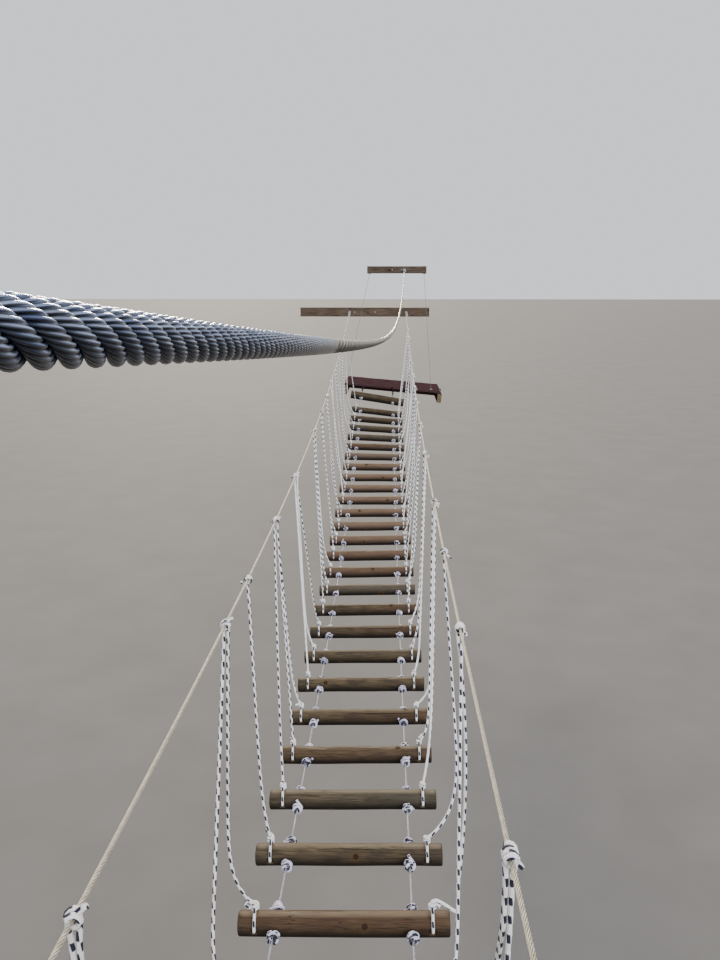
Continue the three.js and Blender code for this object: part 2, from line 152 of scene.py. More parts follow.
def seat(number):
    """A tread's centre and its three directions: the deck cable is straight through it."""
    ends = tread_y(number + np.array([-0.5, 0.5]))
    behind, ahead = np.stack([0 * ends, ends, deck_z(ends)], -1)
    return (behind + ahead) / 2, *directions(number, unit(ahead - behind))


def edge_seat(end):
    """The same for the log under a landing's edge, which lies level along the bridge."""
    centre = np.array([0.0, MIDDLE - end["inward"] * EDGE_REACH, EDGE_Z])
    return centre, *directions(0 if end["inward"] > 0 else TREADS + 1, ALONG)


print("tread 1 at", seat(1)[0].round(3), "tread 30 at", seat(TREADS)[0].round(3))

# %% [markdown]
# The handrails and the safety cable sag between their eye bolts. These functions take whole arrays of
# distances, which lets one call lay out a full cable.

# %% Handrails and safety cable
SPAN_START = FRAME_DEPTH + EYE_STANDOFF
RAIL_SAG = 0.505
RAIL_BULGE = 0.014
RAIL_SHIFT = -0.007
SAFETY_SAG = 0.396


def between_ends(name, y):
    """Near value to far value in a straight line, with u the share of the span."""
    u = (y - SPAN_START) / (LENGTH - 2 * SPAN_START)
    return ENDS["near"][name] * (1 - u) + ENDS["far"][name] * u, 4 * u * (1 - u)


def handrail_point(side, y):
    """Straight between the ends, less the sag times 4u(1 - u), and a little wider in the middle."""
    half, hump = between_ends("rail_x", y)
    z, hump = between_ends("rail_z", y)
    return np.stack([side * (half + RAIL_BULGE * hump) + RAIL_SHIFT, y, z - RAIL_SAG * hump], -1)


def safety_point(y):
    """Straight between the ends, less the sag times 4u(1 - u)."""
    x, hump = between_ends("safety_x", y)
    z, hump = between_ends("safety_z", y)
    return np.stack([x, y, z - SAFETY_SAG * hump], -1)


print("handrails sag to", handrail_point(1, np.array([MIDDLE])).round(3))

# %% [markdown]
# ## Surfaces
# Nearly everything here is long: closed rings carried along a line. A curve object with a bevel makes
# a plain tube, but not a stranded rope or a log whose section changes on the way. So the rings are
# worked out as arrays, joined with quads, and closed at both ends with fans.

# %% Skins
def skin(rings, uv, closed=False, end_uv=None):
    """Quads join ring i to ring i + 1, and a fan joins each open end to its middle. uv has one column
    more than the rings, so the seam isn't smeared. With end_uv the fans take the second finish."""
    rows, columns = rings.shape[:2]
    row = np.arange(rows if closed else rows - 1)[:, None]
    here = np.arange(columns)
    there = (here + 1) % columns
    ahead = (row + 1) % rows
    corners = (row * columns + here, row * columns + there, ahead * columns + there, ahead * columns + here)
    made = {"points": rings.reshape(-1, 3), "quads": np.stack(corners, -1).reshape(-1, 4)}
    made["quad_uv"] = np.stack([uv[:-1, :-1], uv[:-1, 1:], uv[1:, 1:], uv[1:, :-1]], 2).reshape(-1, 4, 2)
    made["fans"] = np.zeros((0, 3), int)
    made["fan_uv"] = np.zeros((0, 3, 2))
    made["fan_finish"] = 0 if end_uv is None else 1
    if closed:
        return made
    pole = rows * columns
    last = pole - columns
    made["points"] = np.vstack([made["points"], rings[0].mean(0), rings[-1].mean(0)])
    first_fan = np.stack([np.full(columns, pole), there, here], -1)
    last_fan = np.stack([np.full(columns, pole + 1), last + here, last + there], -1)
    made["fans"] = np.vstack([first_fan, last_fan])
    first_uv, last_uv = (uv[0], uv[-1]) if end_uv is None else end_uv
    first_pole = np.broadcast_to(first_uv[:-1].mean(0), (columns, 2))
    last_pole = np.broadcast_to(last_uv[:-1].mean(0), (columns, 2))
    first_fan_uv = np.stack([first_pole, first_uv[1:], first_uv[:-1]], 1)
    last_fan_uv = np.stack([last_pole, last_uv[:-1], last_uv[1:]], 1)
    made["fan_uv"] = np.vstack([first_fan_uv, last_fan_uv])
    return made


trial = skin(np.zeros((2, 4, 3)), np.zeros((2, 5, 2)))
print("two rings of four points:", len(trial["quads"]), "quads and", len(trial["fans"]), "end triangles")

# %% [markdown]
# A mesh made point by point would be slow with this many points. `foreach_set` copies whole arrays
# into a new mesh at once, so one function turns any number of skins into one piece.

# %% From skins to a piece
totals = {"pieces": 0, "triangles": 0}


def stacked(skins, key):
    """One flat array of all skins' values."""
    return np.concatenate([s[key].ravel() for s in skins])


def make_piece(name, skins, finishes, nodes=(), sharp=None):
    """All skins in one mesh, by whole arrays, riding on the bridge's one body. Edges that turn by more
    than `sharp` degrees stay crisp."""
    starts = np.cumsum([0] + [len(s["points"]) for s in skins])
    quads = np.concatenate([(s["quads"] + start).ravel() for s, start in zip(skins, starts)])
    fans = np.concatenate([(s["fans"] + start).ravel() for s, start in zip(skins, starts)])
    corners = np.concatenate([quads, fans]).astype(np.int32)
    sizes = np.repeat([4, 3], [len(quads) // 4, len(fans) // 3])
    uv = np.concatenate([stacked(skins, "quad_uv"), stacked(skins, "fan_uv")])
    fan_finish = np.repeat([s["fan_finish"] for s in skins], [len(s["fans"]) for s in skins])
    finish = np.concatenate([np.zeros(len(quads) // 4, int), fan_finish])
    mesh = bpy.data.meshes.new(name)
    mesh.vertices.add(starts[-1])
    mesh.vertices.foreach_set("co", stacked(skins, "points").astype(np.float32))
    mesh.loops.add(len(corners))
    mesh.loops.foreach_set("vertex_index", corners)
    mesh.polygons.add(len(sizes))
    mesh.polygons.foreach_set("loop_start", (np.cumsum(sizes) - sizes).astype(np.int32))
    mesh.polygons.foreach_set("use_smooth", np.ones(len(sizes), bool))
    for material in finishes:
        mesh.materials.append(material)
    mesh.polygons.foreach_set("material_index", finish.astype(np.int32))
    mesh.uv_layers.new(name="UVMap").data.foreach_set("uv", uv.astype(np.float32))
    mesh.update(calc_edges=True)
    if sharp is not None:
        mesh.set_sharp_from_angle(angle=math.radians(sharp))
    piece = bpy.data.objects.new(name, mesh)
    bpy.context.scene.collection.objects.link(piece)
    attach(piece, "root")
    if nodes:
        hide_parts(*nodes)
    totals["pieces"] += 1
    totals["triangles"] += int((sizes - 2).sum())


print("ready to count", *totals)

# %% [markdown]
# Ropes are laid along lines. A spline gives a smooth line through a few chosen points, and relaxing
# one does what tension does to a rope: it pulls the corners out.

# %% Lines that surfaces follow
def travelled(path):
    """Distance along a path at each of its points."""
    return np.concatenate([[0.0], np.cumsum(np.linalg.norm(np.diff(path, axis=0), axis=1))])


def spline(points, count, closed=False):
    """Catmull-Rom: a cubic between two points, whose slope at each is half the step past its neighbours."""
    points = np.asarray(points, float)
    if closed:
        padded = np.vstack([points[-1:], points, points[:2]])
    else:
        padded = np.vstack([2 * points[0] - points[1], points, 2 * points[-1] - points[-2]])
    spans = len(padded) - 3
    place = np.linspace(0, spans, count, endpoint=not closed)
    first = np.minimum(place.astype(int), spans - 1)
    t = (place - first)[:, None]
    a, b, c, d = (padded[first + k] for k in range(4))
    cubic = (3 * b - a - 3 * c + d) * t**3 + (2 * a - 5 * b + 4 * c - d) * t**2
    return 0.5 * (2 * b + (c - a) * t + cubic)


def relax(path, passes, free):
    """Each free point moves to a half of itself and a quarter of each neighbour."""
    path = path.copy()
    for _ in range(passes):
        path[1:-1] += free[1:-1, None] * (path[:-2] - 2 * path[1:-1] + path[2:]) / 4
    return path


print("a spline through three points", spline([(0, 0, 0), (1, 1, 0), (2, 0, 0)], 3).round(2).tolist())

# %% [markdown]
# Every rope, bolt and nut is a tube. Its rings stand square to the line, measured from an axis that
# the line never runs along, so they don't roll about, and a steady turn lays the strands of a rope.

# %% Tubes
def tube_frame(path, axis, closed):
    """Side = tangent x axis and third = tangent x side, both of length one."""
    if closed:
        tangent = unit(np.roll(path, -1, 0) - np.roll(path, 1, 0))
    else:
        tangent = unit(np.gradient(path, axis=0))
    side = unit(np.cross(tangent, axis))
    return side, np.cross(tangent, side)


def tube(path, radius, sides, axis, closed=False, turns=0.0, outline=1.0, start=0.0):
    """Ring point = path + radius * outline * (cos(a) side + sin(a) third), where the angle a grows by
    `turns` turns for each metre, which lays the strands of a rope."""
    side, third = tube_frame(path, axis, closed)
    distance = start + travelled(np.vstack([path, path[:1]]) if closed else path)
    share = np.arange(sides + 1) / sides
    angle = 2 * np.pi * (share[:-1] + turns * distance[:len(path), None])
    reach = np.broadcast_to(radius * outline, angle.shape)
    across = (reach * np.cos(angle))[..., None] * side[:, None]
    rings = path[:, None] + across + (reach * np.sin(angle))[..., None] * third[:, None]
    uv = np.stack(np.broadcast_arrays(share, distance[:, None]), -1)
    return skin(rings, uv, closed)


trial = tube(np.linspace(0, 1, 3)[:, None] * ALONG, 0.1, 8, UP)
print("three rings of eight points make a tube of", len(trial["points"]), "points")

# %% [markdown]
# ## Finishes
# Each finish is a node graph that reads the piece's own UV map, in metres along the grain or the
# rope, or its Object coordinates. One function adds any node. Colours are hex values as a screen
# shows them, and `linear` turns them into light.

# %% Colours and nodes
def linear(code):
    """sRGB hex to light: c / 12.92 up to 0.04045, and ((c + 0.055) / 1.055) ** 2.4 above it."""
    values = [int(code[i:i + 2], 16) / 255 for i in (1, 3, 5)]
    return (*[v / 12.92 if v <= 0.04045 else ((v + 0.055) / 1.055) ** 2.4 for v in values], 1.0)


def put(tree, kind, *values, named=None, **settings):
    """Add a node, set its properties, then fill its inputs in their order, and others by name. What
    fills an input is a value, a socket, or a node, which gives its first output."""
    made = tree.nodes.new("ShaderNode" + kind)
    for name, value in settings.items():
        setattr(made, name, value)
    enabled = [socket for socket in made.inputs if socket.enabled]
    by_name = {socket.name: socket for socket in enabled}
    chosen = [(by_name[name], value) for name, value in (named or {}).items()]
    for socket, value in [*zip(enabled, values), *chosen]:
        if isinstance(value, bpy.types.Node):
            value = next(output for output in value.outputs if output.enabled)
        if isinstance(value, bpy.types.NodeSocket):
            tree.links.new(value, socket)
        else:
            socket.default_value = value
    return made


print("a screen's middle grey gives", round(linear("#808080")[0], 3), "of the light of white")

# %% [markdown]
# A colour is built up like paint: a body colour, and coats over it. Each coat comes in where some
# value is high, such as a noise, the height of a surface's normal or the distance from a knot.

# %% What every finish is made of
def new_finish(name):
    """An empty material and its node tree."""
    material = bpy.data.materials.new(name)
    material.use_nodes = True
    material.node_tree.nodes.clear()
    return material, material.node_tree


def noise(tree, vector, sizes, detail=2.0):
    """Noise whose cells have the given sizes in mm along the three axes."""
    stretched = put(tree, "Mapping", vector, named={"Scale": [1000 / size for size in sizes]})
    return put(tree, "TexNoise", stretched, 1.0, detail)


def wave(tree, value, length):
    """sin(2 pi value / length)."""
    turn = put(tree, "Math", value, 2 * math.pi / length, operation="MULTIPLY")
    return put(tree, "Math", turn, operation="SINE")


def from_middle(tree, value):
    """The value's fraction less a half, so 0 in the middle of each step of one."""
    fraction = put(tree, "Math", value, operation="FRACT")
    return put(tree, "Math", fraction, 0.5, operation="SUBTRACT")


def coats(tree, code, *layers):
    """Colours over each other, from the lowest. A layer comes in as its value goes from low to high,
    up to its share."""
    body = linear(code)
    for value, low, high, share, layer_code in layers:
        amount = put(tree, "MapRange", value, low, high, 0.0, share)
        body = put(tree, "Mix", amount, body, linear(layer_code), data_type="RGBA")
    return body


def close_finish(material, body, roughness, height, millimetres, more=None):
    """Bump, shader and output. It tells how many nodes the finish has."""
    tree = material.node_tree
    bump = put(tree, "Bump", named={"Height": height, "Distance": millimetres / 1000})
    inputs = {"Base Color": body, "Roughness": roughness, "Normal": bump, **(more or {})}
    put(tree, "OutputMaterial", put(tree, "BsdfPrincipled", named=inputs))
    print(material.name, "has", len(tree.nodes), "nodes")


print(len(bpy.data.materials), "materials came with the frame")

# %% [markdown]
# ### Weathered pine pole
# The treads are peeled pine poles, left out of doors. Their flanks are olive brown with grey and tan
# patches, feet and sun keep the tops pale, and fine dark drying checks run with the grain. Their undersides
# are painted nearly black as shade, and a stretch in the middle of the bridge is painted paler as sunlight.
# The UV map starts at the main knot, so a distance from its origin draws the knot.

# %% Weathered pine pole
def weathered_pine_pole():
    """Streaks 4 mm wide, patches 125 mm long, checks as the middle line of a stretched noise. A noise whose
    cells are nearly a tread pitch long gives each pole its own grey or red. From about 8 to 12 m along the
    bridge, where the sun comes in, the poles are painted paler as sunlight, and their undersides are
    painted nearly black as shade."""
    material, tree = new_finish("weathered_pine_pole")
    uv = put(tree, "UVMap", uv_map="UVMap")
    place = put(tree, "TexCoord").outputs["Object"]
    grain = noise(tree, place, (90, 4.3, 4.3), 5.0)
    patch = noise(tree, place, (125, 42, 42), 4.0)
    own = noise(tree, place, (1700, 385, 10000), 0.0)
    along = put(tree, "SeparateXYZ", place).outputs["Y"]
    comes_in = put(tree, "MapRange", along, 7.2, 9.2)
    goes_out = put(tree, "MapRange", along, 12.6, 11.0)
    painted_sunlight_patch = put(tree, "Math", comes_in, goes_out, operation="MULTIPLY")
    up = put(tree, "SeparateXYZ", put(tree, "NewGeometry").outputs["Normal"]).outputs["Z"]
    top = put(tree, "MapRange", up, 0.90, 1.0)
    uneven = put(tree, "MapRange", patch, 0.3, 0.6, 0.45, 1.0)
    worn = put(tree, "Math", top, uneven, operation="MULTIPLY")
    off_line = put(tree, "Math", noise(tree, place, (385, 17, 17)), 0.5, operation="SUBTRACT")
    off_line = put(tree, "Math", off_line, operation="ABSOLUTE")
    check = put(tree, "MapRange", off_line, 0.008, 0.0, 0.0, 0.8)
    from_knot = put(tree, "VectorMath", uv, operation="LENGTH")
    wobble = noise(tree, uv, (11, 11, 11), 1.0)
    from_knot = put(tree, "Math", wobble, 0.006, from_knot, operation="MULTIPLY_ADD")
    body = coats(
        tree, "#60513B",
        (patch, 0.38, 0.62, 1.0, "#43382A"),
        (own, 0.50, 0.66, 0.55, "#543826"),
        (own, 0.48, 0.34, 0.6, "#545045"),
        (grain, 0.45, 0.75, 1.0, "#332B1D"),
        # Painted sunlight: poles from about 8 to 12 m along the bridge are painted paler.
        (painted_sunlight_patch, 0.0, 1.0, 0.55, "#8A6E5A"),
        # Painted shade: downward-facing surfaces are painted nearly black.
        (up, 0.75, -0.35, 0.92, "#120E09"),
        (worn, 0.0, 1.0, 0.5, "#96866D"),
        (check, 0.0, 1.0, 1.0, "#251C12"),
        (from_knot, 0.038, 0.015, 0.5, "#533D22"),
        (from_knot, 0.017, 0.013, 1.0, "#2D1C0B"))
    height = put(tree, "Math", check, -1.2, grain, operation="MULTIPLY_ADD")
    close_finish(material, body, 0.8, height, 1.5, {"IOR": 1.45, "Specular IOR Level": 0.3})
    return material


pole_finish = weathered_pine_pole()

# %% [markdown]
# ### Sawn pine end
# Where a pole or beam is cut across, its rings show, under dirt. The ends have a flat UV map in metres
# from the heart, so the distance from the origin gives the rings.

# %% Sawn pine end
def sawn_pine_end():
    """Growth rings 3 mm apart, which a noise pushes out of round."""
    material, tree = new_finish("sawn_pine_end")
    uv = put(tree, "UVMap", uv_map="UVMap")
    push = noise(tree, uv, (29, 29, 29))
    reach = put(tree, "VectorMath", uv, operation="LENGTH")
    reach = put(tree, "Math", push, 0.012, reach, operation="MULTIPLY_ADD")
    ring = wave(tree, reach, 0.003)
    dirt = noise(tree, uv, (45, 45, 45), 4.0)
    body = coats(tree, "#7D6D50", (ring, -0.2, 1.0, 1.0, "#5B4A33"), (dirt, 0.45, 0.7, 1.0, "#3E3325"))
    close_finish(material, body, 0.88, ring, 0.4, {"IOR": 1.45})
    return material


end_finish = sawn_pine_end()

# %% [markdown]
# ### Rough-sawn pine
# The landings are sawn pine under an old red-brown stain, and the beams above have greyed. The saw
# left marks across the grain, the stain has gone grey in patches, and there are knots.

# %% Rough-sawn pine
def rough_sawn_pine(name, stain, faded, grain_colour):
    """Saw marks 7 mm apart across the grain, grain streaks 7 mm wide, and a knot in some of the cells,
    which are 250 by 125 mm."""
    material, tree = new_finish(name)
    uv = put(tree, "UVMap", uv_map="UVMap")
    grain = noise(tree, uv, (200, 6.7, 1000), 5.0)
    patch = noise(tree, uv, (250, 110, 1000), 4.0)
    cells = put(tree, "Mapping", uv, named={"Scale": (4.0, 8.0, 1.0)})
    knots = put(tree, "TexVoronoi", cells, 1.0, voronoi_dimensions="2D").outputs
    inside = put(tree, "MapRange", knots["Distance"], 0.11, 0.05)
    kept = put(tree, "SeparateXYZ", knots["Color"])
    kept = put(tree, "Math", kept, 0.62, operation="GREATER_THAN")
    knot = put(tree, "Math", inside, kept, operation="MULTIPLY")
    body = coats(
        tree, stain,
        (patch, 0.35, 0.65, 1.0, faded),
        (grain, 0.42, 0.72, 1.0, grain_colour),
        (knot, 0.0, 1.0, 0.85, "#1C0E0A"))
    sway = noise(tree, uv, (500, 50, 1000))
    along = put(tree, "Math", sway, 0.03, put(tree, "SeparateXYZ", uv), operation="MULTIPLY_ADD")
    height = put(tree, "Math", wave(tree, along, 0.007), 0.25, grain, operation="MULTIPLY_ADD")
    close_finish(material, body, 0.9, height, 1.4, {"IOR": 1.45, "Specular IOR Level": 0.0})
    return material


board_finish = rough_sawn_pine("red_stained_sawn_pine", "#4F3435", "#453738", "#241515")
beam_finish = rough_sawn_pine("grey_sawn_pine", "#6D5E50", "#574B40", "#372E25")

# %% [markdown]
# ### Wire rope
# Steel wire rope has six strands of galvanised wires. Zinc that has been outdoors is matt and blue-grey,
# brighter on the crests. The grooves between strands and wires, and the undersides, are painted dark as
# shade, with some grime in the grooves. The handrails have bleached to a cream tan. UV column 0 lies in a
# groove, so a share of the turn finds every groove.

# %% Wire rope
def wire_rope(name, crest, flank, shade_and_grime, strands, wire_turns, wires, roughness, metal=0.7, under=0.3,
              edge=0.26, painted_sunlight=0.0):
    """Grooves from the share round the rope; wires as stripes that run nearly along the rope. The dark
    colour is painted shade, with some grime, between the wires and between the strands, and painted shade
    on the underside: `under` is how much of it lies on the underside, and `edge` is how far from a crest it
    starts. `painted_sunlight` is painted sunlight: how far the rope is painted a paler grey-cream by 1.75 m
    along the bridge, where the sun begins."""
    material, tree = new_finish(name)
    uv = put(tree, "UVMap", uv_map="UVMap")
    flat = put(tree, "SeparateXYZ", uv).outputs
    share = put(tree, "Math", flat["X"], strands, operation="MULTIPLY")
    off_crest = put(tree, "Math", from_middle(tree, share), operation="ABSOLUTE")
    wire = put(tree, "Math", flat["Y"], wire_turns, flat["X"], operation="MULTIPLY_ADD")
    wire = wave(tree, wire, 1 / wires)
    weather = noise(tree, uv, (333, 17, 1000), 3.0)
    up = put(tree, "SeparateXYZ", put(tree, "NewGeometry").outputs["Normal"]).outputs["Z"]
    along = put(tree, "SeparateXYZ", put(tree, "TexCoord").outputs["Object"]).outputs["Y"]
    body = coats(
        tree, crest,
        (weather, 0.35, 0.65, 1.0, flank),
        # Painted shade, with some grime: the wire troughs, the strand grooves and the underside take the
        # dark colour.
        (wire, -0.4, -1.0, 0.35, shade_and_grime),
        (off_crest, edge, 0.48, 0.9, shade_and_grime),
        (up, 0.3, -0.7, under, shade_and_grime),
        # Painted sunlight: the rope turns paler grey-cream from 1.4 to 1.75 m along the bridge.
        (along, 1.4, 1.75, painted_sunlight, "#BDB9B0"))
    close_finish(material, body, roughness, wire, 0.12, {"Metallic": metal})
    return material


# Each rope's third colour is painted shade, with some grime, for its grooves and underside.
steel_rope = wire_rope(
    "galvanised_wire_rope", "#E2DCCE", "#B2ADA2", "#302E2B", strands=6, wire_turns=13.33, wires=23,
    roughness=0.38, metal=0.85, under=0.8, edge=0.24)
strand_finish = wire_rope(
    "galvanised_strand_wires", "#C4D1F0", "#6F80AA", "#07090F", strands=9, wire_turns=0.0, wires=1,
    roughness=0.3, metal=0.9, under=0.9, edge=0.05, painted_sunlight=0.6)
stay_rope = wire_rope(
    "galvanised_stay_wire", "#8E939C", "#6A707A", "#1E2127", strands=6, wire_turns=22.0, wires=7,
    roughness=0.48)
deck_rope = wire_rope(
    "rubbed_wire_rope", "#E8E8EC", "#C0C1C8", "#5A5D66", strands=6, wire_turns=12.5, wires=17,
    roughness=0.5, metal=0.3, under=0.0)
rail_rope = wire_rope(
    "bleached_wire_rope", "#F4E9D2", "#CDC2A8", "#6E6452", strands=6, wire_turns=13.33, wires=23,
    roughness=0.6, metal=0.15, under=0.15)

# %% [markdown]
# ### Braided polyester rope
# The hangers are 13 mm braided rope: white yarn with navy marker yarns. The markers surface as dashes in
# two rows, a third of the turn apart and out of step by half a repeat. The rope is never laid quite without
# a twist, so the rows wind slowly round it: where one faces the camera it shows single dashes, and where
# they lie to both sides of it they make a zigzag. The hollows of the braid are painted lavender-grey as
# shade. The stopper knots are tied from a bluish rope whose markers are closer, and its bluish tint and
# closer markers are painted shade; they lie over close turns that are painted dark as shade.

# %% Braided polyester rope
ROWS = 3.0
ROW_TWIST = 0.08
ROW_WIDTH = 13.6
DASH_WIDTH = 10.0
YARNS_AROUND = 4.0
YARN_LAY = 0.011


def braided_rope(name, yarn, soiled, marker, repeat, dash):
    """Dashes 10 mm wide in two of three rows, of the given length and repeat in mm; yarns 5 mm wide
    cross both ways."""
    material, tree = new_finish(name)
    flat = put(tree, "SeparateXYZ", put(tree, "UVMap", uv_map="UVMap")).outputs
    around = put(tree, "Math", flat["Y"], ROW_TWIST, flat["X"], operation="MULTIPLY_ADD")
    rows = put(tree, "Math", around, ROWS, operation="MULTIPLY")
    row = put(tree, "Math", rows, operation="FLOOR")
    row = put(tree, "Math", row, ROWS, operation="FLOORED_MODULO")
    marked_row = put(tree, "Math", row, 1.5, operation="LESS_THAN")
    along = put(tree, "Math", flat["Y"], 1000 / repeat, operation="MULTIPLY")
    along = put(tree, "Math", row, 0.5, along, operation="MULTIPLY_ADD")
    along = put(tree, "Math", from_middle(tree, along), 2 * repeat / dash, operation="MULTIPLY")
    across = put(tree, "Math", from_middle(tree, rows), 2 * ROW_WIDTH / DASH_WIDTH, operation="MULTIPLY")
    across = put(tree, "Math", along, 0.3, across, operation="MULTIPLY_ADD")
    along = put(tree, "Math", along, operation="ABSOLUTE")
    across = put(tree, "Math", across, operation="ABSOLUTE")
    from_dash = put(tree, "Math", across, along, 0.35, operation="SMOOTH_MAX")
    inside = put(tree, "MapRange", from_dash, 1.1, 0.92)
    marked = put(tree, "Math", inside, marked_row, operation="MULTIPLY")
    yarns = put(tree, "Math", flat["X"], YARNS_AROUND, operation="MULTIPLY")
    crossing = []
    for lay in (YARN_LAY, -YARN_LAY):
        wound = put(tree, "Math", flat["Y"], 1 / lay, yarns, operation="MULTIPLY_ADD")
        crossing.append(wave(tree, wound, 1.0))
    braid = put(tree, "Math", *crossing, operation="MULTIPLY")
    soil = noise(tree, put(tree, "TexCoord").outputs["Object"], (110, 110, 110), 3.0)
    body = coats(
        tree, yarn,
        (soil, 0.4, 0.68, 1.0, soiled),
        # Painted shade: the braid's hollows are painted lavender-grey.
        (braid, 0.1, -0.9, 0.3, "#A3A1B0"),
        (marked, 0.0, 1.0, 1.0, marker))
    close_finish(material, body, 0.72, braid, 0.5, {"IOR": 1.5})
    return material


hanger_finish = braided_rope("braided_hanger_rope", "#F9F8F8", "#E4E0DA", "#14172B", repeat=45, dash=20)
# Painted shade: the stopper rope's bluish tint and closer markers stand in for shade.
stopper_finish = braided_rope("braided_stopper_rope", "#E4E1EE", "#BDB8D0", "#1A1A30", repeat=34, dash=17)
# Painted shade: the close turns under the loose ones are painted dark navy.
shaded_turns_finish = braided_rope("painted_shade_stopper_rope", "#3C384F", "#28253A", "#0D0D18", repeat=34, dash=17)
# Painted shade: the core is real, and its near-black colour stands in for the shade between the strands.
shaded_core_finish = braided_rope("hemp_core_painted_shade", "#1E1A16", "#14110E", "#14110E", repeat=34, dash=17)

# %% [markdown]
# ### Zinc-plated steel
# Eye bolts, washers, nuts and clips are zinc-plated. The plating is bright grey, with dull patches
# where rain has left white bloom, and a little brown where it has worn through.

# %% Zinc-plated steel
def zinc_plated_steel():
    """Bloom in patches 15 mm across and fine rust specks of 3 mm. Bloom is rougher too."""
    material, tree = new_finish("zinc_plated_steel")
    place = put(tree, "TexCoord").outputs["Object"]
    bloom = noise(tree, place, (15, 15, 15), 4.0)
    rust = noise(tree, place, (3.3, 3.3, 3.3))
    body = coats(tree, "#A3A7AB", (bloom, 0.4, 0.65, 1.0, "#7E8386"), (rust, 0.62, 0.75, 0.7, "#6B4A33"))
    roughness = put(tree, "MapRange", bloom, 0.35, 0.7, 0.35, 0.6)
    close_finish(material, body, roughness, bloom, 0.2, {"Metallic": 0.85})
    return material


zinc_finish = zinc_plated_steel()

# %% [markdown]
# ## Treads
# A tread is a peeled pole, 0.8 m long and 91 to 97 mm thick, never quite round or straight. Two holes
# go through it for the rope loops, and it has split a little as it dried. A cylinder with a
# displacement would blur both, so the grid has extra columns at the holes and at the drying checks.

# %% Sizes of a pole
TREAD_LENGTH = 0.8
THIN_POLE = 0.0454
THICK_POLE = 0.0485
FIRST_THICK = 16
LOOP_X = 0.335
HOLE_RADIUS = 0.0128
HOLE_DROP = 0.0048
HOLE_DEPTH = 0.010
HOLE_LIP = 0.003
CHECK_DEPTH = 0.0045
CHECK_LENGTHS = (0.24, 0.48)
CHECK_FADE = 0.06
END_ROUND = 0.005
WAVE_HEIGHT = 0.0008
WAVE_LENGTH = 0.47
OVAL = 0.0007
TAPER = 0.002
BOW = 0.0015
SPIRAL_LENGTH = 0.5
POLE_STEP = 0.034
COLUMN_STEP = 17.0
HOLE_STATIONS = np.array([-17.5, -12.8, -8.5, -4.2, 0.0, 4.2, 8.5, 12.8, 17.5]) / 1000
HOLE_COLUMNS = np.array([-23.0, -16.5, -11.0, -5.5, 0.0, 5.5, 11.0, 16.5, 23.0])
CHECK_COLUMNS = np.array([-2.0, -0.7, 0.7, 2.0])


def filled(anchors, step):
    """The anchors, with even steps between any two that lie more than a step apart."""
    gaps = zip(anchors[:-1], anchors[1:])
    parts = [np.linspace(low, high, int(np.ceil((high - low) / step)) + 1)[:-1] for low, high in gaps]
    return np.concatenate([*parts, anchors[-1:]])


def turned_to(angle):
    """An angle in degrees, from -180 up to 180."""
    return (angle + 180) % 360 - 180


def pole_radius(number):
    """The treads beyond the middle are a little thicker."""
    return THIN_POLE if number < FIRST_THICK else THICK_POLE


print("a rope hole has", len(HOLE_STATIONS), "stations and", len(HOLE_COLUMNS), "columns on each face")

# %% [markdown]
# Everything that makes a pole uneven is one term of its radius, so the terms are simply added up over
# the grid: waves, a taper, the dents where the ropes go in, the drying checks and the rounded ends.

# %% Shape of a pole
def pole_skin(placed, length, radius, random, knot_x, knot_angle, hole_x):
    """Radius = mean + taper + slow waves round and along - dents at the holes - two drying checks.
    The angle runs from the face towards the near end, down and round, and the seam is opposite the knot."""
    centre, across, along, up = placed
    half = length / 2
    ease = np.array([0.0, 0.0015, END_ROUND])
    stations = np.concatenate([-half + ease, half - ease, *[x + HOLE_STATIONS for x in hole_x]])
    x = filled(np.sort(stations), POLE_STEP)[:, None]
    check_angle = random.uniform([215, 40], [325, 140])
    anchors = np.concatenate([HOLE_COLUMNS, 180 + HOLE_COLUMNS, *[a + CHECK_COLUMNS for a in check_angle]])
    anchors = np.sort(turned_to(anchors - knot_angle))
    column = filled(np.append(anchors, anchors[0] + 360), COLUMN_STEP)
    angle = knot_angle + column[:-1]
    phase = random.uniform(0, 2 * np.pi, 4)
    theta = np.radians(angle)
    reach = radius + WAVE_HEIGHT * np.sin(2 * np.pi * x / WAVE_LENGTH + phase[0]) * np.cos(theta + phase[1])
    reach = reach + OVAL * np.cos(2 * theta + phase[2] + 2.5 * x) + random.uniform(-TAPER, TAPER) * x
    drift = np.zeros_like(angle)
    for place in check_angle:
        away = np.abs(turned_to(angle - place))
        middle = random.uniform(-0.15, 0.15)
        half_check = random.uniform(*CHECK_LENGTHS) / 2
        window = np.clip((half_check - np.abs(x - middle)) / CHECK_FADE, 0, 1)
        reach = reach - CHECK_DEPTH * window * (away < 1)
        drift = drift + 3.0 * (away < 3)
    for hole in hole_x:
        for face, drop in ((0, HOLE_DROP), (180, -HOLE_DROP)):
            down = np.radians(turned_to(angle - face)) * radius - drop
            from_hole = np.hypot(x - hole, down)
            share = np.clip((HOLE_RADIUS + 0.001 - from_hole) / HOLE_LIP, 0, 1)
            reach = reach - HOLE_DEPTH * share * share * (3 - 2 * share)
    from_end = half - np.abs(x)
    reach = reach - END_ROUND * np.clip(1 - from_end / END_ROUND, 0, 1) ** 2
    theta = np.radians(angle + drift * np.sin(2 * np.pi * x / SPIRAL_LENGTH + phase[3]))
    bow = random.uniform(-BOW, BOW, 2) * (1 - (x / half) ** 2)
    towards = reach * np.cos(theta) + bow[:, :1]
    down = reach * np.sin(theta) + bow[:, 1:]
    rings = centre + x[..., None] * across - towards[..., None] * along - down[..., None] * up
    uv = np.stack(np.broadcast_arrays(x - knot_x, np.radians(column) * radius), -1)
    ends = [np.stack([towards[row], down[row]], -1) for row in (0, -1)]
    ends = [np.vstack([end, end[:1]]) for end in ends]
    return skin(rings, uv, end_uv=ends)


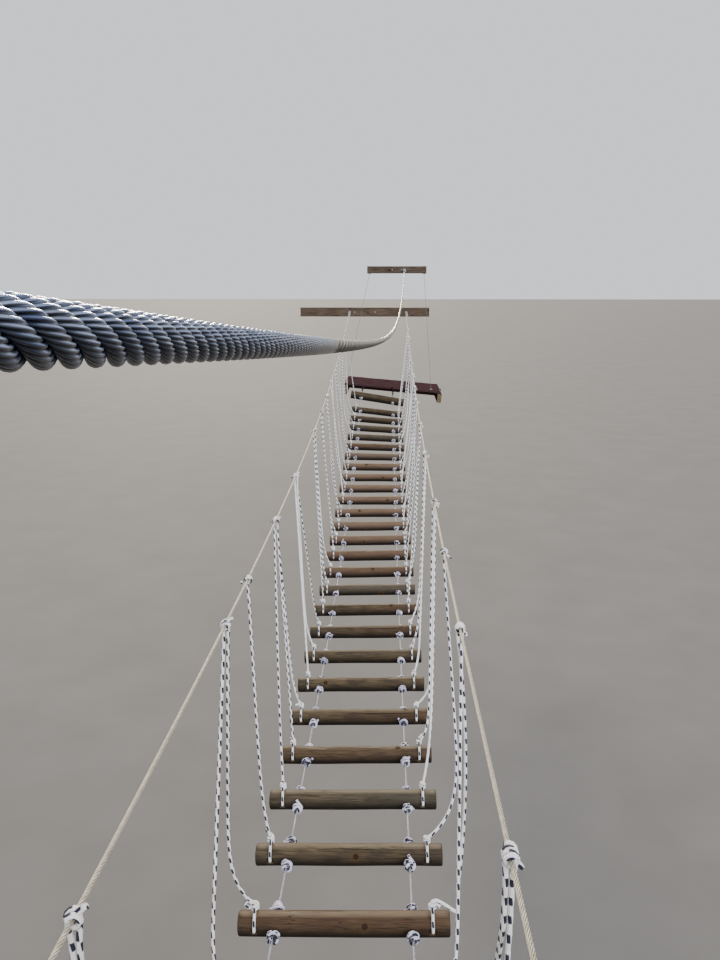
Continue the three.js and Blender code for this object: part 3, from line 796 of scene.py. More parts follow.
trial = pole_skin(seat(1), TREAD_LENGTH, THIN_POLE, np.random.default_rng(1), 0.1, 0.0, (-LOOP_X, LOOP_X))
print("a tread has", len(trial["points"]), "points")

# %% [markdown]
# The thirty treads differ in their random numbers only, so a loop makes them, and each has a seed of
# its own. The first two that the camera sees have their knots where the real ones do.

# %% Treads
KNOT_PLACES = {6: (0.08, -24.0), 7: (0.031, -22.0)}
for number in range(1, TREADS + 1):
    random = np.random.default_rng(number)
    knot_x, knot_angle = KNOT_PLACES.get(number, (random.uniform(-0.3, 0.3), random.uniform(-140, 60)))
    radius = pole_radius(number)
    made = pole_skin(seat(number), TREAD_LENGTH, radius, random, knot_x, knot_angle, (-LOOP_X, LOOP_X))
    node = f"tread_{number:02d}"
    make_piece(f"pine_{node}", [made], [pole_finish, end_finish], [node], 50)
print("treads:", totals)

# %% [markdown]
# ## Edge logs
# A thicker pole lies under the front edge of each landing, and the deck cables pass through it too.
# It has no rope loops, so the same function makes it without them.

# %% Edge logs
for name, end in ENDS.items():
    random = np.random.default_rng(40 + end["inward"])
    made = pole_skin(edge_seat(end), EDGE_LENGTH, EDGE_RADIUS - 0.0015, random, 0.17, -30.0, ())
    node = f"{name}_edge_log"
    make_piece(f"{name}_edge_pine_log", [made], [pole_finish, end_finish], [node], 50)
print("edge logs:", totals)

# %% [markdown]
# ## Wire ropes
# The safety cable passes a hand's breadth from the camera, so its strands and even its wires show
# there. A bump map would stay smooth at the outline. The section of the rope is therefore the true
# outline of six round strands, turned once in every 75 mm, and close to the camera each strand is a
# surface of its own, with the outline of nine wires.

# %% Sections of ropes
ROPE_RADIUS = 0.006
SAFETY_RADIUS = 0.00665
LAY = 0.075
STEPS_EACH_LAY = 8
DECK_ROPE_RADIUS = 0.0049
DECK_LAY = 0.08


def lobes(count, each):
    """Outline of equal round strands that touch: d cos(a) + sqrt(r^2 - d^2 sin^2(a)) about each strand,
    with d = 1 / (1 + sin(pi / count)) and r = 1 - d, for a rope of radius one."""
    half = np.pi / count
    middle = 1 / (1 + math.sin(half))
    angle = -half + 2 * half * np.arange(each) / each
    inside = np.maximum((1 - middle) ** 2 - (middle * np.sin(angle)) ** 2, 0)
    return np.tile(middle * np.cos(angle) + np.sqrt(inside), count)


six_strands = lobes(6, 3)
print("six strands:", six_strands[:3].round(3))

# %% [markdown]
# ### Eyes at the ends
# Each cable ends in an eye that hooks through the ring of an eye bolt. The rope goes round the eye and
# comes back beside itself as a dead end, and three clips hold the two together.

# %% Eyes and dead ends
EYE_RADIUS = 0.018
RING_RADIUS = 0.020
RING_WIRE = 0.005
DEAD_END = 0.3
DEAD_END_GAP = 0.001
EYE_PLAY = 0.0006
THROAT_START = 0.03
THROAT_END = 0.045


def eye_exit(end, radius):
    """Where the straight cable meets its eye, as a distance along the bridge."""
    reach = RING_RADIUS - RING_WIRE - radius - EYE_PLAY + 2 * EYE_RADIUS
    return end["wall"] + end["inward"] * (SPAN_START + reach)


def eye_path(end, radius, at):
    """Down the dead end, round the eye and out to the main rope: a spline in the plane of the eye.
    `at` gives the main rope's point for a distance along the bridge."""
    inward = end["inward"]
    exit_y = eye_exit(end, radius)
    beside = 2 * radius + DEAD_END_GAP
    tail = at(exit_y + inward * np.linspace(DEAD_END, THROAT_END, 8)) + beside * ACROSS
    turn = np.radians(np.array([40, 0, -45, -90, -135, 180, 140]))
    centre = at(np.array([exit_y]))[0] - inward * EYE_RADIUS * ALONG
    round_eye = centre + EYE_RADIUS * np.stack([np.cos(turn), inward * np.sin(turn), 0 * turn], -1)
    throat = at(exit_y + inward * np.array([THROAT_START, THROAT_END]))
    return spline(np.vstack([tail, round_eye, throat]), 70), exit_y + inward * THROAT_END


def whole_cable(at, radius, lay, sides, outline, stops=(), shift=0.0):
    """The main rope between its two eyes, with each eye as its own run of rings. shift moves the
    strands along the rope."""
    step = lay / STEPS_EACH_LAY
    runs = []
    starts = []
    for end in ENDS.values():
        path, start = eye_path(end, radius, at)
        runs.append(tube(path, radius, sides, UP, turns=1 / lay, outline=outline))
        starts.append(start)
    breaks = [starts[0], *stops, starts[1]]
    for low, high in zip(breaks[::2], breaks[1::2]):
        path = at(np.linspace(low, high, int((high - low) / step)))
        runs.append(tube(path, radius, sides, UP, turns=1 / lay, outline=outline, start=low + shift))
    return runs


print("a handrail leaves its near eye at", round(eye_exit(ENDS["near"], ROPE_RADIUS), 3), "m")

# %% [markdown]
# ### Safety cable
# The part next to the camera, 0.6 m long, is made of six separate strands round a core whose near-black
# colour is painted shade. It joins the coarser rope with the same lay at both ends, so the change doesn't
# show.

# %% Safety cable
FINE_START = 1.13
FINE_END = 1.75
FINE_STEP = 0.00185
STRAND_RADIUS = SAFETY_RADIUS / 3
WIRE_TURNS = 172 / (2 * math.pi)
WIRES_SHOWN = 9
STRAND_SHIFT = 0.0062
gap = (FINE_START, FINE_END)
runs = whole_cable(safety_point, SAFETY_RADIUS, LAY, 18, six_strands, gap, STRAND_SHIFT)
make_piece("safety_wire_rope", runs, [steel_rope], ["safety_cable"])
fine_path = safety_point(np.linspace(FINE_START, FINE_END, int((FINE_END - FINE_START) / FINE_STEP)))
side, third = tube_frame(fine_path, UP, False)
strands = []
for strand in range(6):
    turn = 2 * np.pi * ((FINE_START + STRAND_SHIFT + travelled(fine_path)) / LAY + (strand + 0.5) / 6)
    offset = 2 * STRAND_RADIUS * (np.cos(turn)[:, None] * side + np.sin(turn)[:, None] * third)
    strands.append(tube(
        fine_path + offset, 0.97 * STRAND_RADIUS, 36, UP, turns=-WIRE_TURNS, outline=lobes(WIRES_SHOWN, 4)))
make_piece("safety_wire_rope_close_strands", strands, [strand_finish], ["safety_cable"])
core = tube(fine_path[::8], 0.9 * STRAND_RADIUS, 8, UP)
make_piece("safety_wire_rope_core", [core], [shaded_core_finish], ["safety_cable"])
print("safety cable:", totals)

# %% [markdown]
# ### Handrails and deck cables
# Both handrails are 12 mm rope, a little thinner than the safety cable. The deck cables are thinner
# still and run straight through the logs and from knot to knot between them.

# %% Handrails and deck cables
DECK_ROPE_X = 0.26
STOPPER_LENGTH = 0.060


def landing_frame_z(end, x):
    """Height of the middle of a landing's frame at x: it falls by the tangent of its turn."""
    middle_x, middle_z, turn = end["landing"]
    return middle_z - (x - middle_x) * math.tan(math.radians(turn))


def logs_on_deck():
    """Each log in order: its centre on the cables' line, its directions and its radius."""
    logs = [(*seat(number), pole_radius(number)) for number in range(1, TREADS + 1)]
    for place, end in ((0, ENDS["near"]), (TREADS + 1, ENDS["far"])):
        centre, across, along, up = edge_seat(end)
        centre = centre + (deck_z(MIDDLE + EDGE_REACH) - EDGE_Z) * up
        logs.insert(place, (centre, across, along, up, EDGE_RADIUS))
    return logs


def deck_line(side):
    """The deck cable's corners: a stopper's length before and behind each log, joined by straight runs."""
    x = side * DECK_ROPE_X
    corners = [np.array([x, SPAN_START, landing_frame_z(ENDS["near"], x)])]
    for centre, across, along, _, radius in logs_on_deck():
        for facing in (-1, 1):
            corners.append(centre + x * across + facing * (radius + STOPPER_LENGTH) * along)
    corners.append(np.array([x, LENGTH - SPAN_START, landing_frame_z(ENDS["far"], x)]))
    corner_x, corner_y, corner_z = np.array(corners).T
    return lambda y: np.stack([np.interp(y, corner_y, corner_x), y, np.interp(y, corner_y, corner_z)], -1)


for name, side in SIDES.items():
    rail = lambda y, side=side: handrail_point(side, y)
    runs = whole_cable(rail, ROPE_RADIUS, LAY, 18, six_strands)
    make_piece(f"handrail_wire_rope_{name}", runs, [rail_rope], [f"handrail_{name}"])
    runs = whole_cable(deck_line(side), DECK_ROPE_RADIUS, DECK_LAY, 12, lobes(6, 2))
    make_piece(f"deck_wire_rope_{name}", runs, [deck_rope], [f"deck_cable_{name}"])
print("handrails and deck cables:", totals)

# %% [markdown]
# ### Rope clips
# A clip is a U-bolt round the dead end, a saddle on the main rope and two nuts. All its parts are
# tubes: a bent one, a square one with soft corners, and two with six sides. Sharp edges past 40
# degrees keep the nuts crisp on a smooth mesh.

# %% Rope clips
CLIP_PLACES = (0.075, 0.15, 0.225)
TOUCH_GAP = 0.0003


def clips(at, end, radius):
    """Three clips: a U-bolt whose bow holds the dead end, a saddle on the main rope, and two nuts."""
    wire = 0.55 * radius
    leg = radius + wire + TOUCH_GAP
    bow = np.radians(np.linspace(-90, 90, 9))
    bow_x = 2 * radius + DEAD_END_GAP + leg * np.cos(bow)
    bow_x = np.concatenate([[-2.9 * radius], bow_x, [-2.9 * radius]])
    bow_z = np.concatenate([[-leg], leg * np.sin(bow), [leg]])
    skins = []
    for place in CLIP_PLACES:
        middle = at(np.array([eye_exit(end, radius) + end["inward"] * place]))[0]
        u_bolt = middle + bow_x[:, None] * ACROSS + bow_z[:, None] * UP
        skins.append(tube(u_bolt, wire, 8, ALONG))
        saddle = middle + np.array([-1.9, -1.6, -0.9, -0.6])[:, None] * radius * ACROSS
        spread = np.array([0.9, 1.0, 1.0, 0.9])[:, None]
        square = np.where(np.arange(8) % 2, 1.0, 1.25)
        skins.append(tube(saddle, spread * (leg + wire), 8, UP, outline=square))
        for height in (-leg, leg):
            nut = middle + height * UP + np.array([-2.6, -2.5, -2.0, -1.9])[:, None] * radius * ACROSS
            skins.append(tube(nut, spread * 1.7 * wire, 6, UP))
    return skins


for name, end in ENDS.items():
    skins = clips(safety_point, end, SAFETY_RADIUS)
    for side in SIDES.values():
        skins += clips(lambda y, side=side: handrail_point(side, y), end, ROPE_RADIUS)
        skins += clips(deck_line(side), end, DECK_ROPE_RADIUS)
    make_piece(f"{name}_rope_clips", skins, [zinc_finish], sharp=40)
print("clips:", totals)

# %% [markdown]
# ## Hangers
# Each hanger rope comes up from one tread, takes two and a half turns round the handrail and goes
# down to the next tread, so most hitches carry two legs that hang side by side. A third leg has a rope
# of its own. Legs that are too long hang straight down and turn in at the foot. A curve could do the
# legs, but turns and legs are one line here, so the whole rope is computed as a path of points and
# smoothed where a leg meets its turns.

# %% Where the hitches are
HITCHES = {
    "left": [
        (1.3, (1, 2)), (2.8, (3, 4)), (6.3, (5, 6)), (7.5, (7,)), (9.7, (8, 9, 10)), (12.2, (11, 12, 13)),
        (15.8, (14, 15, 16)), (17.8, (17, 18)), (19.6, (19, 20)), (21.5, (21, 22)), (23.5, (23, 24)),
        (25.5, (25, 26)), (27.5, (27, 28)), (29.5, (29, 30)),
    ],
    "right": [
        (1.4, (1, 2)), (3.3, (3, 4)), (6.3, (5, 6)), (8.5, (7,)), (10.7, (8, 9, 10)),
        (13.9, (11, 12, 13)), (16.5, (14, 15, 16)), (19.1, (17, 18, 19)), (20.8, (20, 21)),
        (22.5, (22, 23)), (24.5, (24, 25)), (26.5, (26, 27)), (28.5, (28, 29)), (30.0, (30,)),
    ],
}
# Legs with slack: how far out, in metres, and how late they turn in.
SLACK = {
    "left": {
        3: (0.030, 2), 4: (0.070, 6), 5: (0.080, 24), 6: (0.105, 11), 7: (0.030, 8), 8: (0.010, 4),
        10: (0.040, 12), 12: (0.050, 12), 13: (0.020, 24), 15: (0.030, 12), 16: (0.055, 12),
        18: (0.060, 6), 20: (0.080, 8), 22: (0.090, 6), 23: (0.060, 4), 25: (0.090, 8), 27: (0.110, 9),
        28: (0.120, 6), 29: (0.100, 12),
    },
    "right": {
        3: (0.040, 3), 4: (0.060, 6), 5: (0.055, 24), 6: (0.110, 1), 7: (0.155, 10), 8: (0.040, 8),
        9: (0.050, 24), 10: (0.080, 24), 11: (0.030, 24), 12: (0.050, 12), 13: (0.060, 12),
        15: (0.060, 8), 18: (0.080, 6), 20: (0.090, 8), 21: (0.070, 4), 23: (0.090, 6), 24: (0.080, 8),
        26: (0.090, 6), 27: (0.110, 9), 28: (0.080, 4),
    },
}
HANGER_RADIUS = 0.0065
TURN_RADIUS = ROPE_RADIUS + HANGER_RADIUS
TURN_PITCH = 0.0135
HITCH_FOOT = 0.036
LEG_FROM_MIDDLE = 0.0068
THIRD_LEG_SHIFT = 0.033
THIRD_LEG_TURNS = 1.75
# Each near hitch is tied in its own way: turns, their pitch, how far they stand open, and how far down
# its two legs hang side by side.
EVEN_HITCH = (2.5, TURN_PITCH, 0.001, HITCH_FOOT)
NEAR_HITCHES = {("left", 2.8): (1.5, 0.019, 0.003, 0.17), ("right", 3.3): (3.5, 0.0145, 0.0, 0.17)}
# Where the flecks of four ropes start, so that their rows face the camera as the real ones do.
FLECK_STARTS = {("left", 2.8): 0.8, ("right", 3.3): 11.2, ("left", 6.3): 0.5, ("right", 6.3): 2.5}
CLOSE_STEP = 0.006
LEG_STEP = 0.016
FOOT_HEIGHT = 0.072
print("hitches:", {name: len(hitches) for name, hitches in HITCHES.items()})

# %% [markdown]
# A hitch is worked out in the handrail's own directions: ahead along it, outwards and up. Turns round
# the rail are a helix in these, and a leg is a straight line with an outward belly for its slack.

# %% From hitch to foot
def rail_frame(side, place):
    """A hitch's middle on the handrail, and the directions ahead along the rail, outwards and up."""
    behind, middle, ahead = handrail_point(side, tread_y(place) + np.array([-0.01, 0.0, 0.01]))
    forward = unit(ahead - behind)
    out = side * unit(np.cross(forward, UP))
    return middle, forward, out, side * np.cross(out, forward)


def coil(where, turns, pitch, shift, swell):
    """Round the rail from its outer side, up and over: at angle a, turn radius * (cos(a) out + sin(a) up),
    moving along the rail by one pitch a turn. swell opens the middle turn."""
    middle, forward, out, lift = where
    share = np.arange(0, turns + 0.01, 1 / 12)[:, None]
    radius = TURN_RADIUS + swell * np.sin(np.pi * share / turns) ** 2
    turn = 2 * np.pi * share
    along = shift + pitch * (share - turns / 2)
    return middle + along * forward + radius * (np.cos(turn) * out + np.sin(turn) * lift)


def leg(top, foot, side, slack, number):
    """Straight from the hitch to the foot, plus reach * t * (1 - t ** late) outwards. Legs that hang
    close to the camera have finer steps."""
    step = CLOSE_STEP if number < 10 else LEG_STEP
    t = np.linspace(0, 1, int(np.linalg.norm(top - foot) / step))[1:, None]
    reach, late = slack
    return top + (foot - top) * t + reach * t * (1 - t**late) * side * ACROSS


def loop_foot(side, number):
    """The top of a tread's rope loop."""
    centre, across, _, up = seat(number)
    return centre + side * LOOP_X * across + FOOT_HEIGHT * up


print("foot of the first right leg:", loop_foot(1, 1).round(3))

# %% [markdown]
# On the right of the nearest tread that shows, the leg is too long: it comes down past its knot, turns back
# up and then goes down into it. No formula gives that, so a few given points do.

# %% The long leg
# Each point is across and up from the knot, in metres.
LONG_LEG = np.array([
    (0.094, 0.100), (0.097, 0.010), (0.092, -0.020), (0.078, -0.016), (0.054, 0.003), (0.028, 0.020),
    (0.010, 0.026), (-0.004, 0.016),
])


def leg_of(side_name, number, top):
    """A leg to one tread, with its slack or its turn through given points."""
    side = SIDES[side_name]
    foot = loop_foot(side, number)
    if (side_name, number) != ("right", 6):
        return leg(top, foot, side, SLACK[side_name].get(number, (0.0, 1)), number)
    points = foot + LONG_LEG[:, :1] * side * ACROSS + LONG_LEG[:, 1:] * UP
    down = leg(top, points[0], side, SLACK[side_name][number], number)
    return np.vstack([down[:-1], spline(np.vstack([points, foot]), 60)])


print("the long leg hangs down to", -LONG_LEG[:, 1].min(), "m below its knot")

# %% [markdown]
# One line runs up from a tread, round the handrail and down to the next tread. Only the turns are
# held while it relaxes, so the legs leave them in an easy bend, as a rope does.

# %% Hitches and legs
# A cut end that stands off a hitch: out and up from the middle of the rail.
STUBS = {
    "left": [(0.006, -0.012), (-0.010, 0.014), (-0.020, 0.022), (-0.027, 0.026)],
    "right": [(-0.006, -0.010), (0.012, -0.015), (0.020, -0.021), (0.025, -0.028)],
}
# The loose tail of a rope with one leg: how far out, and its share of the droop.
TAIL_OUT = [0.010, 0.018, 0.026, 0.033]
TAIL_DROOP = [0.0, 0.1, 0.45, 1.0]


def hanging(middle, drop, across):
    """Straight down under the rail, from the height of the hitch's foot to its drop."""
    height = np.arange(HITCH_FOOT, drop + 0.001, CLOSE_STEP)[:, None]
    return middle - height * UP + across


def hitch_paths(side_name, place, treads, random):
    """One rope for the first two legs, and one with a loose tail for a single or third leg. The two
    legs of a rope gather side by side under the rail."""
    side = SIDES[side_name]
    where = rail_frame(side, place)
    middle, forward, out, lift = where
    count, pitch, swell, drop = NEAR_HITCHES.get((side_name, place), EVEN_HITCH)
    paths = []
    if len(treads) > 1:
        turns = coil(where, count, pitch, 0.0, swell)
        outer = hanging(middle, drop, LEG_FROM_MIDDLE * out)
        inner = hanging(middle, drop, -LEG_FROM_MIDDLE * out)
        first = leg_of(side_name, treads[0], outer[-1])[::-1]
        second = leg_of(side_name, treads[1], inner[-1])
        path = np.vstack([first, outer[::-1], turns, inner, second])
        held = np.zeros(len(path))
        start = len(first) + len(outer)
        held[start + 2:start + len(turns) - 2] = 1
        paths.append(relax(path, 8, 1 - held))
        stub = np.array(STUBS[side_name])
        paths.append(spline(middle + stub[:, :1] * out + stub[:, 1:] * lift, 12))
    if len(treads) != 2:
        shift = THIRD_LEG_SHIFT if len(treads) == 3 else 0.0
        turns = coil(where, THIRD_LEG_TURNS, TURN_PITCH, shift, 0.001)
        top = middle - HITCH_FOOT * UP + shift * forward
        first = leg_of(side_name, treads[-1], top)[::-1]
        droop = random.uniform(0.005, 0.025)
        tail = turns[-1] + np.array(TAIL_OUT)[:, None] * out
        tail = tail - np.array(TAIL_DROOP)[:, None] * droop * lift
        path = np.vstack([first, top, turns, tail])
        held = np.zeros(len(path))
        held[len(first) + 3:len(first) + len(turns)] = 1
        paths.append(relax(path, 8, 1 - held))
    return paths


trial = hitch_paths("right", *HITCHES["right"][0], np.random.default_rng(1))
print("points in the lines of the first right hitch:", [len(path) for path in trial])

# %% [markdown]
# The loop below turns every line into rope. Its radius waves a little, which keeps the ropes from
# looking like plastic tube.

# %% Hangers
def knobbly(path):
    """A hand-laid rope is never quite even: its radius waves by 3.5 % every 21 mm and 2 % every 83 mm."""
    distance = travelled(path)[:, None]
    return 1 + 0.035 * np.sin(2 * np.pi * distance / 0.021) + 0.02 * np.sin(2 * np.pi * distance / 0.083)


for name in SIDES:
    skins = []
    random = np.random.default_rng(60 + SIDES[name])
    for place, treads in HITCHES[name]:
        for path in hitch_paths(name, place, treads, random):
            start = FLECK_STARTS.get((name, place), random.uniform(0, 12))
            outline = knobbly(path)
            skins.append(tube(path, 0.96 * HANGER_RADIUS, 10, ALONG, outline=outline, start=start))
    make_piece(f"hanger_ropes_{name}", skins, [hanger_finish], [f"handrail_{name}"])
print("hangers:", totals)

# %% [markdown]
# ## Loops through the treads
# At its foot each hanger is tied in a loop that goes through the hole in the tread, so the log hangs
# inside a rope ring. A wrapped knot closes it just above the log, with a short tail. The loop follows
# the log: it leaves the knot in two straight lines that touch the pole, and then bends round it.

# %% Shape of a loop and its knot
LOOP_RADIUS = 0.006
LOOP_APEX = 0.078
WRAP_RADIUS = 0.0105
WRAP_LOW = 0.060
WRAP_HIGH = 0.086
WRAP_TURNS = 2.25


def foot_loop(placed, radius):
    """Apex, tangent point at the angle whose cosine is contact / apex, an arc down to the hole, through."""
    centre, _, along, up = placed
    contact = radius + LOOP_RADIUS + TOUCH_GAP
    arc = np.linspace(math.acos(contact / LOOP_APEX), math.radians(84), 4)
    low = contact - 0.003
    side_x = np.concatenate([[0.0], contact * np.sin(arc), [low, 0.038, 0.0]])
    side_z = np.concatenate([[LOOP_APEX], contact * np.cos(arc), [0.0005, 0.0, 0.0]])
    x = np.concatenate([side_x, -side_x[-2:0:-1]])[:, None]
    z = np.concatenate([side_z, side_z[-2:0:-1]])[:, None]
    return spline(centre + x * along + z * up, 40, closed=True)


def foot_knot(placed, side, random):
    """A helix of 2.25 turns about the foot, ending in a tail that swings outwards."""
    centre, across, along, up = placed
    share = np.linspace(0, 1, 25)[:, None]
    spin = random.uniform(0, 2 * np.pi)
    turn = 2 * np.pi * WRAP_TURNS * share + spin
    height = WRAP_LOW + (WRAP_HIGH - WRAP_LOW) * share
    wrap = centre + WRAP_RADIUS * (np.cos(turn) * across + np.sin(turn) * along) + height * up
    swing = side * across * random.uniform(0.6, 1.0) + along * random.uniform(-0.8, 0.8)
    reach = random.uniform(0.018, 0.034)
    step = np.array([0.4, 0.75, 1.0])[:, None]
    tail = wrap[-1] + reach * step * swing + reach * step**2 * random.uniform(-0.4, 0.5) * up
    path = np.vstack([wrap, tail])
    free = np.zeros(len(path))
    free[-5:] = 1
    return relax(path, 3, free)


print("a foot loop is", round(travelled(foot_loop(seat(1), THIN_POLE))[-1], 3), "m round")

# %% [markdown]
# Both sides of all treads get a loop and a knot. Beside the nearest tread that shows, the left knot has a
# small open bight as well, which is a spline through listed points.

# %% Loops through the treads
# Each point is across and up from the tread's rope hole, in metres.
OPEN_BIGHT = np.array([
    (0.000, 0.070), (0.010, 0.088), (0.024, 0.093), (0.036, 0.084), (0.034, 0.070), (0.022, 0.064),
    (0.004, 0.068),
])
for name, side in SIDES.items():
    skins = []
    random = np.random.default_rng(80 + side)
    for number in range(1, TREADS + 1):
        centre, *turned_axes = seat(number)
        placed = (centre + side * LOOP_X * turned_axes[0], *turned_axes)
        skins.append(tube(foot_loop(placed, pole_radius(number)), LOOP_RADIUS, 8, ACROSS, closed=True))
        skins.append(tube(foot_knot(placed, side, random), LOOP_RADIUS, 8, placed[3]))
    if name == "left":
        centre, across, along, up = seat(6)
        bight = centre + side * (LOOP_X + OPEN_BIGHT[:, :1]) * across + OPEN_BIGHT[:, 1:] * up
        skins.append(tube(spline(bight, 30), LOOP_RADIUS, 8, along))
    make_piece(f"hanger_foot_loops_{name}", skins, [hanger_finish], [f"handrail_{name}"])
print("foot loops:", totals)

# %% [markdown]
# ## Stopper knots on the deck cables
# Short ropes are tied round the deck cable before and behind every log, so that the logs can't slide.
# Each is three close turns on the cable, painted dark as shade, and then two and a half loose turns that
# cross them at slants, as a rope that was tied in haste. Both are worked out as paths round the cable, and
# each of the 128 knots has its own spin and slants.

# %% Shape of a stopper knot
STOPPER_ROPE = 0.0062
INNER_TURN = DECK_ROPE_RADIUS + STOPPER_ROPE + 0.0005
OUTER_TURN = 0.0225
HALF_STOPPER = 0.0225
CLOSE_TURNS = 3
ALL_TURNS = 5.5
WIDENING = 0.3
# At these turns the rope lies this far along the cable from the knot's middle.
PLACES = [0, CLOSE_TURNS, CLOSE_TURNS + WIDENING, 4.4, ALL_TURNS]
AWAY = [-0.019, 0.019, 0.009, -0.003, -0.011]


def stopper(centre, across, along, up, facing, random):
    """Turns about the cable: radius * (cos(a) across + sin(a) up), and along the cable a wave that
    slants the loose turns, so that they cross the close ones. facing is -1 in front of the log."""
    spin = random.uniform(0, 2 * np.pi)
    way = random.choice([-1, 1])
    paths = []
    for share in (np.linspace(0, CLOSE_TURNS, 31), np.linspace(CLOSE_TURNS - 0.1, ALL_TURNS, 34)):
        widen = np.clip((share - CLOSE_TURNS) / WIDENING, 0, 1)
        radius = INNER_TURN + (OUTER_TURN * random.uniform(0.94, 1.04) - INNER_TURN) * widen
        radius = radius + 0.0018 * widen * np.sin(2 * np.pi * share * 0.31 + random.uniform(0, 6))
        turn = 2 * np.pi * share * way + spin
        away = np.interp(share, PLACES, AWAY)
        slant = random.uniform(0.010, 0.017) * widen * np.sign(np.cos(np.pi * (share - CLOSE_TURNS)))
        away = away + slant * np.sin(turn + random.uniform(0, 2 * np.pi))
        away = np.clip(away, -HALF_STOPPER, HALF_STOPPER)
        ring = (radius * np.cos(turn))[:, None] * across + (0.94 * radius * np.sin(turn))[:, None] * up
        paths.append(centre + ring + facing * away[:, None] * along)
    loose = paths[1]
    outwards = unit(across * np.cos(turn[-1]) + 0.6 * up)
    tail = loose[-1] + np.array([0.006, 0.013])[:, None] * outwards
    loose = np.vstack([loose, tail])
    return paths[0], relax(loose, 3, np.ones(len(loose)))


print("turns round the cable at", round(INNER_TURN, 4), "and", OUTER_TURN, "m")

# %% [markdown]
# The close turns and the loose ones are separate pieces, because only the first are painted dark as shade.

# %% Stopper knots
for name, side in SIDES.items():
    close_turns = []
    loose_turns = []
    random = np.random.default_rng(100 + side)
    for centre, across, along, up, radius in logs_on_deck():
        for facing in (-1, 1):
            away = radius + 0.002 + STOPPER_LENGTH / 2
            middle = centre + side * DECK_ROPE_X * across + facing * away * along
            close, loose = stopper(middle, across, along, up, facing, random)
            start = random.uniform(0, 12)
            close_turns.append(tube(close, STOPPER_ROPE, 8, along, start=start))
            loose_turns.append(tube(loose, STOPPER_ROPE, 8, along, start=start + 1))
    node = f"deck_cable_{name}"
    # The close turns take the finish that is painted dark as shade.
    make_piece(f"deck_stopper_turns_{name}", close_turns, [shaded_turns_finish], [node])
    make_piece(f"deck_stopper_knots_{name}", loose_turns, [stopper_finish], [node])
print("stopper knots:", totals)

# %% [markdown]
# ## Landings and beams
# A landing is a frame of sawn timbers against the support, with boards across it. Two crossbeams
# above carry the handrails and the safety cable. Sawn edges are eased and never quite straight, so a
# timber is an eight-cornered section carried along its length, with each station a little different.

# %% Timbers
EASE = 0.006
END_STEP = 0.002
TIMBER_STEP = 0.07
# The middle of a sawn end lies here, measured from the heart of the wood.
HEART = [0.03, 0.05]


def timber(low, high, along_axis, random, rough=0.0012, ragged=0.0):
    """Section corners at half width and half height, cut at 45 degrees by the ease; every station
    shrinks a side by a smooth random amount, so the timber stays inside its box."""
    low = np.array(low)
    high = np.array(high)
    order = [along_axis, (along_axis + 1) % 3, (along_axis + 2) % 3]
    ends = np.array([low[along_axis], high[along_axis]])
    ends += np.array([ragged, -ragged]) * random.uniform(size=2)
    along = np.concatenate([ends[:1], filled(ends + [END_STEP, -END_STEP], TIMBER_STEP), ends[1:]])
    half = (high - low)[order[1:]] / 2
    waves = random.uniform(0, 2 * np.pi, (4, 3))
    sway = np.sin(along[:, None, None] * np.array([7.0, 19.0, 43.0]) + waves).sum(-1) / 3
    shrink = rough * (1 + sway) / 2
    step = np.zeros(len(along))
    step[[0, -1]] = END_STEP
    reach = [half[i // 2] - shrink[:, i] - step for i in range(4)]
    signs = [(0, 2, 1), (0, 2, 0), (1, 2, 0), (1, 2, 1), (1, 3, 1), (1, 3, 0), (0, 3, 0), (0, 3, 1)]
    corners = []
    for i, j, eased in signs:
        a = reach[i] - (0 if eased else EASE)
        b = reach[j] - (EASE if eased else 0)
        corners.append(np.stack([a if i == 0 else -a, b if j == 2 else -b], -1))
    section = np.stack(corners, 1)[:, ::-1]
    middle = (low + high)[order[1:]] / 2
    rings = np.empty((len(along), 8, 3))
    rings[..., order[0]] = along[:, None]
    rings[..., order[1]] = section[..., 0] + middle[0]
    rings[..., order[2]] = section[..., 1] + middle[1]
    around = travelled(np.vstack([section[0], section[0, :1]]))
    start = random.uniform(0, 5, 2)
    uv = np.stack(np.broadcast_arrays(along[:, None] + start[0], around + start[1]), -1)
    ends = [np.vstack([section[row], section[row, :1]]) + HEART for row in (0, -1)]
    return skin(rings, uv, end_uv=ends)


def turned(origin, direction, profile, sides, axis):
    """A turned or hexagonal part: each profile row is a distance along the direction and a radius."""
    profile = np.array(profile)
    path = origin + profile[:, :1] * direction
    return tube(path, profile[:, 1:], sides, axis)


trial = timber((0.0, 0.0, 0.0), (1.0, 0.1, 0.05), 0, np.random.default_rng(1))
print("a timber 1 m long lies between", trial["points"].min(0).round(4), trial["points"].max(0).round(4))

# %% [markdown]
# The far landing isn't level: it is turned about the bridge's long axis. So both landings are built
# about their own frame's middle, as level ones, and their points are turned and moved afterwards.

# %% Sizes and turn of a landing
JOIST_WIDTH = 0.07
LANDING_HALF = 0.81
LANDING_DEPTH = 0.91
FRAME_HALF = 0.075
BOARDS_LOW = 0.0753
BOARDS_HIGH = 0.1203
BOARDS = 7
BOARD_GAP = 0.006
NAIL_PLACES = (0.25, 0.72)
BOLT_PLACES = (0.42, 0.58)
NAIL = [(-0.001, 0.0042), (0.0008, 0.0042), (0.0018, 0.0028)]
BOLT_HEAD = [(0.0, 0.014), (0.0035, 0.014), (0.0036, 0.0095), (0.0105, 0.0095), (0.0115, 0.0085)]


def on_landing(end, points):
    """Points measured from the middle of the landing's frame, turned about the bridge's long axis:
    x cos(t) + z sin(t) and z cos(t) - x sin(t)."""
    middle_x, middle_z, degrees = end["landing"]
    turn = math.radians(degrees)
    x, y, z = np.asarray(points, float).T
    turned_x = middle_x + x * math.cos(turn) + z * math.sin(turn)
    turned_z = middle_z + z * math.cos(turn) - x * math.sin(turn)
    return np.stack([turned_x, y, turned_z], -1)


